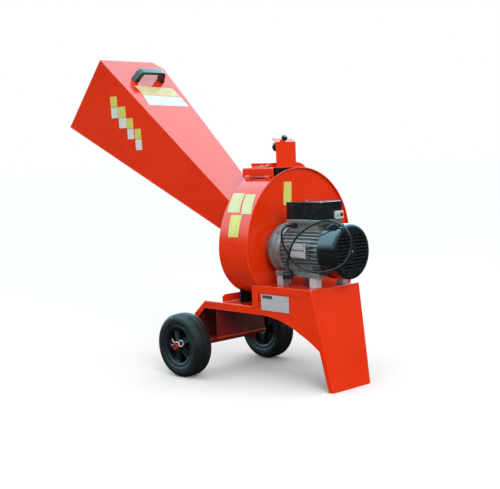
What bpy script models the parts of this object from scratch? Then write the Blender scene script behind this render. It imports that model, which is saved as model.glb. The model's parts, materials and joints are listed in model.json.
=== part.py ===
"""Electric garden shredder on a two-wheeled frame. Metres, +Z up, +X towards the motor, the floor at Z 0."""

import math

import bmesh
import bpy
from mathutils import Matrix, Vector

# General clearances and sheet gauges
GAP = 0.0003              # between pieces that touch
SHARP_ANGLE = math.radians(35)
FRAME_SHEET = 0.003       # chassis and its brackets
SHELL_SHEET = 0.004       # scroll band of the drum
PLATE_SHEET = 0.003       # drum side plates, hopper walls
COVER_SHEET = 0.0025      # inspection cover, apron

# Wheels and axle
WHEEL_RADIUS = 0.130
TYRE_WIDTH = 0.086
WHEEL_TRACK = 0.480       # between the wheels' middle planes
RIM_RADIUS = 0.0745
RIM_WIDTH = 0.050
SPOKES = 8
AXLE_X = -0.284
AXLE_RADIUS = 0.0135
AXLE_BORE = 0.006
COLLAR_RADIUS = 0.020
COLLAR_WIDTH = 0.005
RUNNING_CLEARANCE = 0.0005
HUB_RADIUS = 0.0205
HUB_INNER = 0.0275        # hub from the wheel's middle plane towards the frame
HUB_OUTER = 0.0410        # and away from it
WASHER_RADIUS = 0.024
WASHER_THICKNESS = 0.002
CLIP_WIRE = 0.0018
AXLE_END_SPARE = 0.007    # axle left outside the clip

# Chassis: the side outline of the folded sheet
FRAME_HALF_WIDTH = 0.1407
FOOT_HALF_WIDTH = 0.108
FRONT_X = -0.335
NOSE_Z = 0.240
CHEEK_Z = 0.100
BEND_X = -0.265
BEAM_Z = 0.3005
STEP_X = 0.055
PLATFORM_END = 0.0305     # platform past the rear foot bolts
LEG_REACH = 0.0725        # foot's edge past the platform's
LEG_LIP = 0.0215
ARCH_X = 0.060
ARCH_CROWN_Z = 0.2695
ARCH_RADIUS = 0.4263
CREASE_ANGLE = math.radians(29.5)
CHEEK_X = -0.262
SIDE_PLATE_X = 0.0215
SIDE_PLATE_BOTTOM = 0.2985
SIDE_PLATE_RIM = 0.028

# Pieces on and under the beam
STOP_X = -0.157
SADDLE_RISE = 0.0295      # drum's chamber above the beam
STOP_HEIGHT = 0.0325
STOP_CORNER = 0.015
SADDLE_THICKNESS = 0.005
SADDLE_HALF_WIDTH = 0.105
SADDLE_INSET = 0.025      # saddles from the drum's lips
APRON_X = -0.200
APRON_BOTTOM = 0.150
APRON_LIP = 0.014

# Drum: a chamber around the motor's axis that opens into a scroll with its outlet facing down
CHAMBER_RADIUS = 0.190
SCROLL_GROWTH = 0.232
SCROLL_START = math.radians(180)
SCROLL_END = math.radians(12)
SCROLL_EASE = 1.25
NEAR_LIP_X = 0.050
DRUM_WIDTH = 0.160
FACE_INSET = 0.012
BACK_INSET = 0.002
OUTLET_DROP = 0.190       # outlet's mouth below the motor's axis
TONGUE_INSET = 0.006      # outlet's inner wall inside the chamber's radius
TONGUE_DROP = 0.045
WINDOW_Y = (-0.010, 0.150)
WINDOW_INSET_FAR = 0.015
WINDOW_INSET_NEAR = 0.062
SHAFT_HOLE = 0.030

# Rotor
ROTOR_CLEARANCE = 0.014   # between the disc's rim and the band
DISC_THICKNESS = 0.010
DISC_STANDOFF = 0.020     # disc's cutting face from the drum's far lip
ROTOR_HUB_RADIUS = 0.034
ROTOR_HUB_LENGTH = 0.100
VANES = 4
VANE_THICKNESS = 0.004
VANE_DEPTH = 0.078
VANE_INSET = 0.006        # vanes and knives inside the disc's rim
KNIFE_INSET = 0.014
KNIFE_WIDTH = 0.045
KNIFE_THICKNESS = 0.008
KNIFE_EDGE = 0.009
KNIFE_INNER_RADIUS = 0.048
KNIVES = 2
SLOT_WIDTH = 0.014
COUNTER_KNIFE_WIDTH = 0.020
CUTTING_CLEARANCE = 0.0014

# Motor
SHAFT_RADIUS = 0.012
SHAFT_TAIL_RADIUS = 0.009
SHAFT_TAIL = 0.052
SHAFT_BOLT_RADIUS = 0.005
SHAFT_BOLT_LENGTH = 0.020
NECK_RADIUS = 0.070
NECK_WALL = 0.010
NECK_LENGTH = 0.0397
FLANGE_RADIUS = 0.100
FLANGE_THICKNESS = 0.012
SHIELD_LENGTH = 0.038
HOUSING_LENGTH = 0.2064
HOUSING_BORE = 0.0722
HOUSING_ROOT = 0.079
HOUSING_RADIUS = 0.0925
FINS = 36
FIN_THICKNESS = 0.0034
STATOR_BORE = 0.0455
CORE_MARGIN = (0.037, 0.030)  # laminations inside the housing's ends
WINDING = 0.015           # end windings beyond the laminations
BEARING_RADIUS = 0.026
BEARING_WIDTH = 0.0147
BEARING_SUNK = 0.0045     # front bearing inside the flange
BOSS_RADIUS = 0.034
REAR_SHIELD = 0.008
FAN_COVER_RADIUS = 0.105
FAN_COVER_LENGTH = 0.085
FAN_COVER_WALL = 0.0025
FAN_COVER_EDGE = 0.014
GRILLE_ROWS = 10
GRILLE_PITCH = 0.0135
GRILLE_SLOT = 0.0055
GRILLE_RADIUS = 0.088
GRILLE_HUB = 0.022
FAN_RADIUS = 0.085
FAN_BLADES = 7
FOOT_HEIGHT = 0.0833      # housing's foot pads below the axis
HOUSING_FOOT_Y = (0.050, 0.074)
HOUSING_FOOT_TOP = 0.056  # its foot pads' upper side below the axis
HOUSING_FOOT_MARGIN = 0.018  # pads end this far from the bolts
BOLT_INSET = (0.020, 0.0347)  # foot bolts from the rails' ends
FOOT_Y = 0.0775
RAIL_START = 0.0183       # rails start ahead of the housing
RAIL_Y = (0.045, 0.0975)
RAIL_THICKNESS = 0.0117
RAIL_RIB = 0.0061
RAIL_RIB_WIDTH = 0.007
SPACER_SIZE = 0.032
SPACER_HEIGHT = 0.0391
BOLT_RADIUS = 0.0042
BOLT_HEAD_RADIUS = 0.0072
BOLT_HEAD_HEIGHT = 0.0062

# Terminal box on the motor
PAD_INSET = (0.0217, 0.0347)  # pad from the housing's ends
PAD_HALF_WIDTH = 0.050
PAD_TOP = 0.112           # above the motor's axis
BOX_INSET = (0.0137, 0.0117)  # box from the housing's ends
BOX_HALF_WIDTH = 0.058
BOX_HEIGHT = 0.0577
BOX_WALL = 0.003
BOX_LID_HEIGHT = 0.0157
BOX_LID_OVERHANG = 0.002
SWITCH_Y = 0.0355
SWITCH_RISE = 0.0227      # switch's middle above the box's floor
SWITCH_SIZE = (0.008, 0.045, 0.030)
BUTTON_RADIUS = 0.0072
BUTTON_PITCH = 0.021
BUTTON_LENGTH = 0.0085
BUTTON_BACK = 0.0035      # free space behind a button
GLAND_INSET = 0.031       # gland from the pad's front end
GLAND_RISE = 0.097        # and above the motor's axis
GLAND_NUT_RADIUS = 0.0125
GLAND_NUT_LENGTH = 0.010
GLAND_DOME_RADIUS = 0.0095
GLAND_TIP_RADIUS = 0.0062
GLAND_LENGTH = 0.032

# Cord and plug
CORD_RADIUS = 0.0042
PLUG_RADIUS = 0.0185
PLUG_NECK_RADIUS = 0.0075
PLUG_PIN_RADIUS = 0.0024
PLUG_PIN_PITCH = 0.019
PLUG_PIN_LENGTH = 0.019

# Hopper: side outline at the mouth and at the drum, upper and lower corners
MOUTH_X = (-0.8732, -1.1344)
MOUTH_RISE = (0.818, 0.5304)   # above the motor's axis
THROAT_RISE = (0.160, 0.028)
MOUTH_HALF_WIDTH = 0.1693
THROAT_HALF_WIDTH = 0.0852
HOPPER_FLANGE = 0.018
HOPPER_FLANGE_THICKNESS = 0.004
MOUTH_CLIP = 0.042        # clipped upper corner of the mouth, along each edge
HANDLE_DOWN = 0.150       # handle from the mouth's edge, down the top panel
HANDLE_Y = 0.0095
HANDLE_HALF_SPAN = 0.079
HANDLE_HEIGHT = 0.047
HANDLE_WIDTH = 0.026
HANDLE_BAR = 0.011
HANDLE_LEG = 0.014
HANDLE_LEAN = math.radians(16)
HANDLE_BEND = 0.016
HANDLE_EDGE = 0.003
FLAP_X = -0.400
FLAP_PIN_DROP = 0.0145    # pin below the top panel's inside
FLAP_PIN_RADIUS = 0.003
FLAP_EYE_RADIUS = 0.0065
FLAP_THICKNESS = 0.005
FLAP_HALF_WIDTH = 0.096
FLAP_LENGTH = 0.200

# Inspection cover on top of the drum, and its lock
COVER_Y = -0.0295         # outside of its hinged wall
COVER_RISE = 0.130        # its flat top above the drum's chamber
COVER_FLAT_END = 0.125
COVER_X = (-0.126, 0.048)
TIER_X = (-0.110, 0.000)
TIER_Y = 0.005
TIER_HEIGHT = 0.018
TIER_BEND_Y = 0.145
TIER_END_Y = 0.212
HINGE_Y = -0.0345
HINGE_RISE = 0.0085       # hinge pin above the drum
HINGE_RADIUS = 0.0065
HINGE_PIN_RADIUS = 0.003
KNUCKLE_LENGTH = 0.013
KNUCKLES_X = (-0.105, 0.008)
COVER_GROUND_CLEARANCE = 0.002
BRACKET_X = 0.030
BRACKET_Y = (0.011, 0.124)
BRACKET_HEIGHT = 0.100
BRACKET_FOOT = 0.026
BRACKET_BACK = (-0.025, 0.016)
BRACKET_CORNER = 0.006
SIDE_KNOB_Y = 0.0295
SIDE_KNOB_DROP = 0.019    # its middle below the bracket's bend
SIDE_KNOB_RADIUS = 0.019
SIDE_KNOB_THICKNESS = 0.015
KNOB_STEM_RADIUS = 0.005
KNOB_STEM_LENGTH = 0.006
TOP_KNOB_RADIUS = 0.012
TOP_KNOB_HEIGHT = 0.015
LOCK_SWITCH_X = (0.004, 0.045)
LOCK_SWITCH_Y = (-0.010, 0.085)

# Places worked out from the sizes above
AXIS_Z = BEAM_Z + SADDLE_RISE + CHAMBER_RADIUS
OUTLET_INNER_Y = CHAMBER_RADIUS - TONGUE_INSET
DISC_RADIUS = CHAMBER_RADIUS - SHELL_SHEET - ROTOR_CLEARANCE
VANE_RADIUS = DISC_RADIUS - VANE_INSET
KNIFE_LENGTH = DISC_RADIUS - KNIFE_INSET - KNIFE_INNER_RADIUS
FAR_LIP_X = NEAR_LIP_X - DRUM_WIDTH
FACE_X = NEAR_LIP_X - FACE_INSET
BACK_X = FAR_LIP_X + BACK_INSET
DISC_X = FAR_LIP_X + DISC_STANDOFF
NECK_X = FACE_X + GAP
FLANGE_X = NECK_X + NECK_LENGTH
SHIELD_END_X = FLANGE_X + FLANGE_THICKNESS + SHIELD_LENGTH
HOUSING_X = SHIELD_END_X + GAP
HOUSING_END_X = HOUSING_X + HOUSING_LENGTH
REAR_X = HOUSING_END_X + GAP
FRONT_BEARING_X = FLANGE_X + FLANGE_THICKNESS - BEARING_SUNK
REAR_BEARING_X = REAR_X - GAP - BEARING_WIDTH
PAD_Z = AXIS_Z + PAD_TOP
BOX_Z = PAD_Z + GAP
BOX_TOP = BOX_Z + BOX_HEIGHT
FOOT_Z = AXIS_Z - FOOT_HEIGHT
RAIL_TOP = FOOT_Z - GAP
RAIL_BOTTOM = RAIL_TOP - RAIL_THICKNESS
PLATFORM_Z = RAIL_BOTTOM - SPACER_HEIGHT - 2 * GAP
RAIL_X = (HOUSING_X - RAIL_START, HOUSING_END_X)
BOLT_X = (RAIL_X[0] + BOLT_INSET[0], RAIL_X[1] - BOLT_INSET[1])
LEG_TOP_X = BOLT_X[1] + PLATFORM_END
FOOT_X = LEG_TOP_X + LEG_REACH
PAD_X = (HOUSING_X + PAD_INSET[0], HOUSING_END_X - PAD_INSET[1])
BOX_X = (HOUSING_X + BOX_INSET[0], HOUSING_END_X - BOX_INSET[1])
GLAND_X = PAD_X[0] + GLAND_INSET
GLAND_Z = AXIS_Z + GLAND_RISE
COVER_TOP = AXIS_Z + CHAMBER_RADIUS + COVER_RISE
TIER_TOP = COVER_TOP + TIER_HEIGHT
BRACKET_TOP = COVER_TOP + BRACKET_HEIGHT
SIDE_KNOB_Z = BRACKET_TOP - SIDE_KNOB_DROP
MOUTH_TOP = (MOUTH_X[0], AXIS_Z + MOUTH_RISE[0])
MOUTH_BOTTOM = (MOUTH_X[1], AXIS_Z + MOUTH_RISE[1])
THROAT_TOP_Z = AXIS_Z + THROAT_RISE[0]
THROAT_BOTTOM_Z = AXIS_Z + THROAT_RISE[1]
HOPPER_END_X = BACK_X - GAP
HUB_END_Y = WHEEL_TRACK / 2 + HUB_OUTER
WASHER_Y = HUB_END_Y + GAP
CLIP_Y = WASHER_Y + WASHER_THICKNESS + GAP + CLIP_WIRE
AXLE_HALF = CLIP_Y + CLIP_WIRE + AXLE_END_SPARE

# Route of the cord from the gland over the fan cover to the plug, chosen by hand: x past the gland, y and
# z above the motor's axis. Its x is for a housing that ends CORD_REACH past the gland, and follows it.
CORD_REACH = 0.1537
CORD_ROUTE = [
    (0.0, -0.0823, 0.097), (0.0, -0.0945, 0.097), (-0.0007, -0.1075, 0.0943), (-0.0025, -0.1182, 0.085),
    (-0.0048, -0.1233, 0.0715), (-0.0058, -0.1243, 0.0555), (-0.0038, -0.1225, 0.037), (0.0028, -0.1175, 0.016),
    (0.0135, -0.112, -0.006), (0.0253, -0.107, -0.0282), (0.0443, -0.102, -0.0468), (0.0763, -0.0982, -0.0626),
    (0.1145, -0.0957, -0.0709), (0.1595, -0.0954, -0.0716), (0.2056, -0.097, -0.0635), (0.244, -0.0959, -0.0503),
    (0.2629, -0.0836, -0.0359), (0.2706, -0.0638, -0.0135), (0.2727, -0.0494, 0.0127), (0.2711, -0.0453, 0.0381),
    (0.2658, -0.046, 0.0638), (0.2511, -0.048, 0.0873), (0.2285, -0.0491, 0.1032), (0.1977, -0.0468, 0.1125),
    (0.1742, -0.0536, 0.1184), (0.1573, -0.068, 0.1172), (0.1403, -0.0827, 0.1115), (0.1204, -0.0945, 0.1022),
    (0.0982, -0.104, 0.0873), (0.0688, -0.112, 0.0645), (0.0501, -0.118, 0.0397), (0.0363, -0.121, 0.0148),
    (0.0288, -0.1225, -0.0101), (0.0238, -0.1232, -0.027), (0.022, -0.1235, -0.041), (0.022, -0.1235, -0.0562),
]
CORD_POINTS = 56

RED = ("red_enamel", (0.68, 0.035, 0.008), 0.28, 0.0)
DARK_PLASTIC = ("dark_plastic", (0.010, 0.011, 0.012), 0.35, 0.0)
RUBBER = ("rubber", (0.012, 0.012, 0.013), 0.75, 0.0)
ALUMINIUM = ("cast_aluminium", (0.52, 0.55, 0.55), 0.45, 1.0)
STEEL = ("steel", (0.45, 0.46, 0.47), 0.35, 1.0)
ZINC = ("zinc_plate", (0.62, 0.63, 0.62), 0.32, 1.0)
COPPER = ("winding_copper", (0.62, 0.28, 0.12), 0.40, 1.0)
GREY_PLASTIC = ("grey_plastic", (0.62, 0.64, 0.64), 0.45, 0.0)
GREEN_PLASTIC = ("green_plastic", (0.03, 0.28, 0.07), 0.40, 0.0)
RED_PLASTIC = ("red_plastic", (0.50, 0.02, 0.02), 0.40, 0.0)

for old in list(bpy.data.objects):
    bpy.data.objects.remove(old, do_unlink=True)

parts = bpy.data.collections.new("garden_shredder")
cutters = bpy.data.collections.new("cutters")
bpy.context.scene.collection.children.link(parts)
bpy.context.scene.collection.children.link(cutters)


# Helpers

def finish(look):
    """Principled material of the given look, made once."""
    name, colour, roughness, metallic = look
    made = bpy.data.materials.get(name)
    if made is None:
        made = bpy.data.materials.new(name)
        made.use_nodes = True
        shader = made.node_tree.nodes["Principled BSDF"]
        shader.inputs["Base Color"].default_value = (*colour, 1.0)
        shader.inputs["Roughness"].default_value = roughness
        shader.inputs["Metallic"].default_value = metallic
        made.diffuse_color = (*colour, 1.0)
    return made


def add_part(name, piece, look):
    """Names a finished piece and puts it among the parts."""
    piece.name = name
    piece.data.name = name
    piece.data.materials.clear()
    piece.data.materials.append(finish(look))
    for holder in list(piece.users_collection):
        holder.objects.unlink(piece)
    parts.objects.link(piece)
    return shade_round(piece)


def shade_round(piece):
    """Applies a piece's modifiers and shades it smooth, up to its sharp edges."""
    sources = bpy.context.evaluated_depsgraph_get()
    mesh = bpy.data.meshes.new_from_object(piece.evaluated_get(sources))
    if piece.type == "MESH":
        piece.modifiers.clear()
        piece.data = mesh
        mesh.name = piece.name
        mesh.shade_smooth()
        mesh.set_sharp_from_angle(angle=SHARP_ANGLE)
    return piece


def frame_matrix(plane, place):
    """Turns an outline's own plane into the XY, XZ or YZ plane at a place."""
    turns = {
        "XY": Matrix.Identity(4),
        "XZ": Matrix.Rotation(math.pi / 2, 4, "X"),
        "YZ": Matrix.Rotation(math.pi / 2, 4, "Z") @ Matrix.Rotation(math.pi / 2, 4, "X"),
    }
    return Matrix.Translation(Vector(place)) @ turns[plane]


def mesh_from_curve(sketch):
    """Welded mesh object in the curve object's place."""
    bpy.context.scene.collection.objects.link(sketch)
    sources = bpy.context.evaluated_depsgraph_get()
    mesh = bpy.data.meshes.new_from_object(sketch.evaluated_get(sources))
    work = bmesh.new()
    work.from_mesh(mesh)
    bmesh.ops.remove_doubles(work, verts=work.verts, dist=0.000001)
    bmesh.ops.recalc_face_normals(work, faces=work.faces)
    work.to_mesh(mesh)
    work.free()
    solid = bpy.data.objects.new(sketch.name, mesh)
    solid.matrix_world = sketch.matrix_world
    bpy.data.objects.remove(sketch, do_unlink=True)
    return solid


def plate(outline, thickness, plane="XY", place=(0.0, 0.0, 0.0), holes=()):
    """Flat outline with its openings, as thick as given, half on each side of the place."""
    curve = bpy.data.curves.new("outline", "CURVE")
    curve.dimensions = "2D"
    curve.fill_mode = "BOTH"
    curve.extrude = thickness / 2
    for points in (outline, *holes):
        spline = curve.splines.new("POLY")
        spline.points.add(len(points) - 1)
        for point, (u, v) in zip(spline.points, points):
            point.co = (u, v, 0.0, 1.0)
        spline.use_cyclic_u = True
    sketch = bpy.data.objects.new("outline", curve)
    sketch.matrix_world = frame_matrix(plane, place)
    return mesh_from_curve(sketch)


def turned(profile, steps, axis="Z", place=(0.0, 0.0, 0.0)):
    """Profile of (radius, height) points turned about an axis; it is a ring unless it starts and ends on it."""
    ring = profile[0][0] > 0.0 or profile[-1][0] > 0.0
    pairs = zip(profile, profile[1:] + profile[:1])
    if sum(a[0] * b[1] - b[0] * a[1] for a, b in pairs) > 0.0:
        profile = profile[::-1]
    count = len(profile)
    edges = [(i, i + 1) for i in range(count - 1)]
    if ring:
        edges.append((count - 1, 0))
    mesh = bpy.data.meshes.new("turned")
    mesh.from_pydata([(r, 0.0, h) for r, h in profile], edges, [])
    solid = bpy.data.objects.new("turned", mesh)
    screw = solid.modifiers.new("Turn", "SCREW")
    screw.axis = "Z"
    screw.steps = steps
    screw.render_steps = steps
    screw.use_merge_vertices = True
    screw.merge_threshold = 0.00001
    tilts = {"X": Matrix.Rotation(math.pi / 2, 4, "Y"), "Y": Matrix.Rotation(-math.pi / 2, 4, "X")}
    solid.matrix_world = Matrix.Translation(Vector(place)) @ tilts.get(axis, Matrix.Identity(4))
    return solid


def block(low, high):
    """Box between two corners."""
    size = [b - a for a, b in zip(low, high)]
    middle = [(a + b) / 2 for a, b in zip(low, high)]
    work = bmesh.new()
    bmesh.ops.create_cube(work, size=1.0, matrix=Matrix.Diagonal((*size, 1.0)))
    mesh = bpy.data.meshes.new("block")
    work.to_mesh(mesh)
    work.free()
    solid = bpy.data.objects.new("block", mesh)
    solid.location = middle
    return solid


def blocks(corners):
    """Several separate boxes in one mesh, for cutting."""
    work = bmesh.new()
    for low, high in corners:
        size = [b - a for a, b in zip(low, high)]
        middle = [(a + b) / 2 for a, b in zip(low, high)]
        bmesh.ops.create_cube(work, size=1.0, matrix=Matrix.Translation(middle) @ Matrix.Diagonal((*size, 1.0)))
    mesh = bpy.data.meshes.new("blocks")
    work.to_mesh(mesh)
    work.free()
    return bpy.data.objects.new("blocks", mesh)


def rod(radius, start, end, sides=24):
    """Solid cylinder between two points."""
    start, end = Vector(start), Vector(end)
    work = bmesh.new()
    length = (end - start).length
    bmesh.ops.create_cone(work, cap_ends=True, segments=sides, radius1=radius, radius2=radius, depth=length)
    mesh = bpy.data.meshes.new("rod")
    work.to_mesh(mesh)
    work.free()
    solid = bpy.data.objects.new("rod", mesh)
    turn = (end - start).to_track_quat("Z", "Y").to_matrix().to_4x4()
    solid.matrix_world = Matrix.Translation((start + end) / 2) @ turn
    return solid


def tube(points, radius, resolution=2):
    """Round wire through the given points, with closed ends."""
    curve = bpy.data.curves.new("wire", "CURVE")
    curve.dimensions = "3D"
    curve.bevel_depth = radius
    curve.bevel_resolution = resolution
    curve.use_fill_caps = True
    spline = curve.splines.new("POLY")
    spline.points.add(len(points) - 1)
    for point, place in zip(spline.points, points):
        point.co = (*place, 1.0)
    return bpy.data.objects.new("wire", curve)


def combine(target, tool, operation):
    """Boolean of a tool on a target; the tool is kept among the cutters."""
    step = target.modifiers.new(operation.title(), "BOOLEAN")
    step.operation = operation
    step.object = tool
    for holder in list(tool.users_collection):
        holder.objects.unlink(tool)
    cutters.objects.link(tool)
    tool.hide_render = True
    tool.display_type = "WIRE"
    return target


def cut(target, *tools):
    for tool in tools:
        combine(target, tool, "DIFFERENCE")
    return target


def join(target, *tools):
    for tool in tools:
        combine(target, tool, "UNION")
    return target


def bevel(piece, width, segments=2):
    """Rounds the sharp edges of a piece."""
    step = piece.modifiers.new("Round", "BEVEL")
    step.width = width
    step.segments = segments
    step.limit_method = "ANGLE"
    step.angle_limit = math.radians(40)
    return piece


def circle(radius, steps, centre=(0.0, 0.0)):
    angles = [2 * math.pi * i / steps for i in range(steps)]
    return [(centre[0] + radius * math.cos(a), centre[1] + radius * math.sin(a)) for a in angles]


def arc(centre, radius, start, end, steps):
    angles = [start + (end - start) * i / steps for i in range(steps + 1)]
    return [(centre[0] + radius * math.cos(a), centre[1] + radius * math.sin(a)) for a in angles]


def rounded_rectangle(low, high, radius, steps=4):
    corners = [
        ((high[0] - radius, high[1] - radius), 0.0),
        ((low[0] + radius, high[1] - radius), math.pi / 2),
        ((low[0] + radius, low[1] + radius), math.pi),
        ((high[0] - radius, low[1] + radius), 3 * math.pi / 2),
    ]
    turn = math.pi / 2
    return [point for centre, start in corners for point in arc(centre, radius, start, start + turn, steps)]


def offset_path(points, distance):
    """Open path moved to its right."""
    normals = []
    for (ax, az), (bx, bz) in zip(points, points[1:]):
        length = math.hypot(bx - ax, bz - az)
        normals.append(((bz - az) / length, (ax - bx) / length))
    moved = [(points[0][0] + normals[0][0] * distance, points[0][1] + normals[0][1] * distance)]
    for point, first, second in zip(points[1:], normals, normals[1:]):
        reach = distance / (1 + first[0] * second[0] + first[1] * second[1])
        moved.append((point[0] + (first[0] + second[0]) * reach, point[1] + (first[1] + second[1]) * reach))
    moved.append((points[-1][0] + normals[-1][0] * distance, points[-1][1] + normals[-1][1] * distance))
    return moved


def strip(path, thickness):
    """Outline of a sheet that follows a path, with its thickness on the path's right."""
    return path + offset_path(path, thickness)[::-1]


# Chassis

def leg_face_x(z):
    """Outer face of the leg at a height."""
    return LEG_TOP_X + (PLATFORM_Z - z) * (FOOT_X - LEG_TOP_X) / PLATFORM_Z


def frame_skin():
    """Outside of the folded sheet, from the nose over the beam and platform down the leg."""
    return [
        (FRONT_X, CHEEK_Z), (FRONT_X, NOSE_Z), (BEND_X, BEAM_Z), (STEP_X, BEAM_Z),
        (STEP_X, PLATFORM_Z), (LEG_TOP_X, PLATFORM_Z), (FOOT_X, 0.0),
    ]


def frame_arch():
    """Lower edge of the sides, from the foot up the leg's lip and along the arch."""
    slope = (FOOT_X - LEG_TOP_X) / PLATFORM_Z
    centre_z = ARCH_CROWN_Z - ARCH_RADIUS
    reach = LEG_TOP_X + (PLATFORM_Z - centre_z) * slope - LEG_LIP - ARCH_X
    end = math.asin(reach / (ARCH_RADIUS * math.hypot(1.0, slope))) - math.atan(slope)
    lower = [(ARCH_X + ARCH_RADIUS * math.sin(a), centre_z + ARCH_RADIUS * math.cos(a))
             for a in (end + (CREASE_ANGLE - end) * i / 5 for i in range(6))]
    upper = [(ARCH_X + ARCH_RADIUS * math.sin(a), centre_z + ARCH_RADIUS * math.cos(a))
             for a in (CREASE_ANGLE * (1 - i / 9) for i in range(1, 10))]
    return [(FOOT_X - LEG_LIP, 0.0)] + lower + upper + [(CHEEK_X, ARCH_CROWN_Z), (CHEEK_X, CHEEK_Z)]


def taper_leg(solid):
    """Narrows the leg below the crease that runs from the platform's edge to the arch."""
    top = Vector((LEG_TOP_X, PLATFORM_Z))
    low = Vector((ARCH_X + ARCH_RADIUS * math.sin(CREASE_ANGLE),
                  ARCH_CROWN_Z - ARCH_RADIUS * (1 - math.cos(CREASE_ANGLE))))
    along = (low - top).normalized()
    out = Vector((-along.y, along.x))
    full = (Vector((FOOT_X, 0.0)) - top).dot(out)
    work = bmesh.new()
    work.from_mesh(solid.data)
    work.transform(solid.matrix_world)
    everything = work.verts[:] + work.edges[:] + work.faces[:]
    bmesh.ops.bisect_plane(
        work, geom=everything, dist=0.000001, plane_co=(top.x, 0.0, top.y), plane_no=(out.x, 0.0, out.y))
    narrowing = 1 - FOOT_HALF_WIDTH / FRAME_HALF_WIDTH
    for vert in work.verts:
        depth = (Vector((vert.co.x, vert.co.z)) - top).dot(out)
        if depth > 0.0:
            vert.co.y *= 1 - narrowing * depth / full
    work.to_mesh(solid.data)
    work.free()
    solid.matrix_world = Matrix.Identity(4)
    return solid


def bolt_places():
    """Where the motor's foot bolts pass, as (x, y)."""
    return [(x, side * FOOT_Y) for x in BOLT_X for side in (-1, 1)]


def make_chassis():
    outside = taper_leg(plate(frame_skin() + frame_arch(), 2 * FRAME_HALF_WIDTH, "XZ"))
    below = -0.05
    inner = offset_path(frame_skin(), FRAME_SHEET)
    (ax, az), (bx, bz) = inner[-2:]
    inner[0] = (inner[0][0], below)
    inner[-1] = (bx + (below - bz) * (bx - ax) / (bz - az), below)
    inside = taper_leg(plate(inner, 2 * (FRAME_HALF_WIDTH - FRAME_SHEET), "XZ"))
    axle = rod(AXLE_RADIUS + GAP, (AXLE_X, -FRAME_HALF_WIDTH - 0.01, WHEEL_RADIUS),
               (AXLE_X, FRAME_HALF_WIDTH + 0.01, WHEEL_RADIUS), 20)
    cut(outside, inside, axle)
    for x, y in bolt_places():
        cut(outside, rod(BOLT_RADIUS + GAP, (x, y, PLATFORM_Z - 0.02), (x, y, PLATFORM_Z + 0.02), 16))
    return add_part("chassis", outside, RED)


def make_side_frame():
    """Plate with a turned rim outside the platform's left face; its front edge reaches past the step."""
    rim = SIDE_PLATE_RIM
    end = LEG_TOP_X - 0.004
    inner_x = STEP_X
    outline = [
        (SIDE_PLATE_X, SIDE_PLATE_BOTTOM), (inner_x, SIDE_PLATE_BOTTOM), (inner_x, PLATFORM_Z - rim),
        (end - rim, PLATFORM_Z - rim), (end, PLATFORM_Z), (SIDE_PLATE_X, PLATFORM_Z),
    ]
    y = -FRAME_HALF_WIDTH - GAP - FRAME_SHEET / 2
    return add_part("side_frame", plate(outline, FRAME_SHEET, "XZ", (0.0, y, 0.0)), RED)


def make_drum_stop():
    """Upstand across the beam in front of the drum, with clipped corners."""
    half = FRAME_HALF_WIDTH - FRAME_SHEET
    low = BEAM_Z + GAP
    high = BEAM_Z + STOP_HEIGHT
    outline = [
        (-half, low), (half, low), (half, high - STOP_CORNER / 2), (half - STOP_CORNER, high),
        (-half + STOP_CORNER, high), (-half, high - STOP_CORNER / 2),
    ]
    return add_part("drum_stop", plate(outline, FRAME_SHEET, "YZ", (STOP_X, 0.0, 0.0)), RED)


def make_saddle(name, x):
    """Upright plate whose hollow top carries the drum's chamber."""
    radius = CHAMBER_RADIUS + GAP
    reach = math.asin(SADDLE_HALF_WIDTH / radius)
    top = arc((0.0, AXIS_Z), radius, -math.pi / 2 + reach, -math.pi / 2 - reach, 14)
    outline = [(-SADDLE_HALF_WIDTH, BEAM_Z + GAP), (SADDLE_HALF_WIDTH, BEAM_Z + GAP)] + top
    return add_part(name, plate(outline, SADDLE_THICKNESS, "YZ", (x, 0.0, 0.0)), RED)


def make_apron():
    """Sheet across the frame behind the axle, with a lip folded along its lower edge."""
    path = [(APRON_X, APRON_BOTTOM + APRON_LIP / 2), (APRON_X, BEAM_Z - FRAME_SHEET - GAP)]
    path.insert(0, (APRON_X, APRON_BOTTOM))
    path.insert(0, (APRON_X + APRON_LIP, APRON_BOTTOM))
    outline = strip(path, COVER_SHEET)
    width = 2 * (FRAME_HALF_WIDTH - FRAME_SHEET - GAP)
    return add_part("apron_plate", plate(outline, width, "XZ"), RED)


# Wheels and axle

def make_axle():
    """Tube with a welded collar inside each wheel and a cross hole near each end."""
    collar = WHEEL_TRACK / 2 - HUB_INNER - RUNNING_CLEARANCE
    profile = [
        (AXLE_BORE, -AXLE_HALF), (AXLE_RADIUS, -AXLE_HALF),
        (AXLE_RADIUS, -collar), (COLLAR_RADIUS, -collar),
        (COLLAR_RADIUS, -collar + COLLAR_WIDTH), (AXLE_RADIUS, -collar + COLLAR_WIDTH),
        (AXLE_RADIUS, collar - COLLAR_WIDTH), (COLLAR_RADIUS, collar - COLLAR_WIDTH),
        (COLLAR_RADIUS, collar), (AXLE_RADIUS, collar),
        (AXLE_RADIUS, AXLE_HALF), (AXLE_BORE, AXLE_HALF),
    ]
    axle = turned(profile, 20, "Y", (AXLE_X, 0.0, WHEEL_RADIUS))
    for side in (-1, 1):
        middle = Vector((AXLE_X, side * CLIP_Y, WHEEL_RADIUS))
        reach = Vector((AXLE_RADIUS + 0.01, 0.0, 0.0))
        cut(axle, rod(CLIP_WIRE + GAP, middle - reach, middle + reach, 12))
    return add_part("axle_tube", axle, RED)


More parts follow.
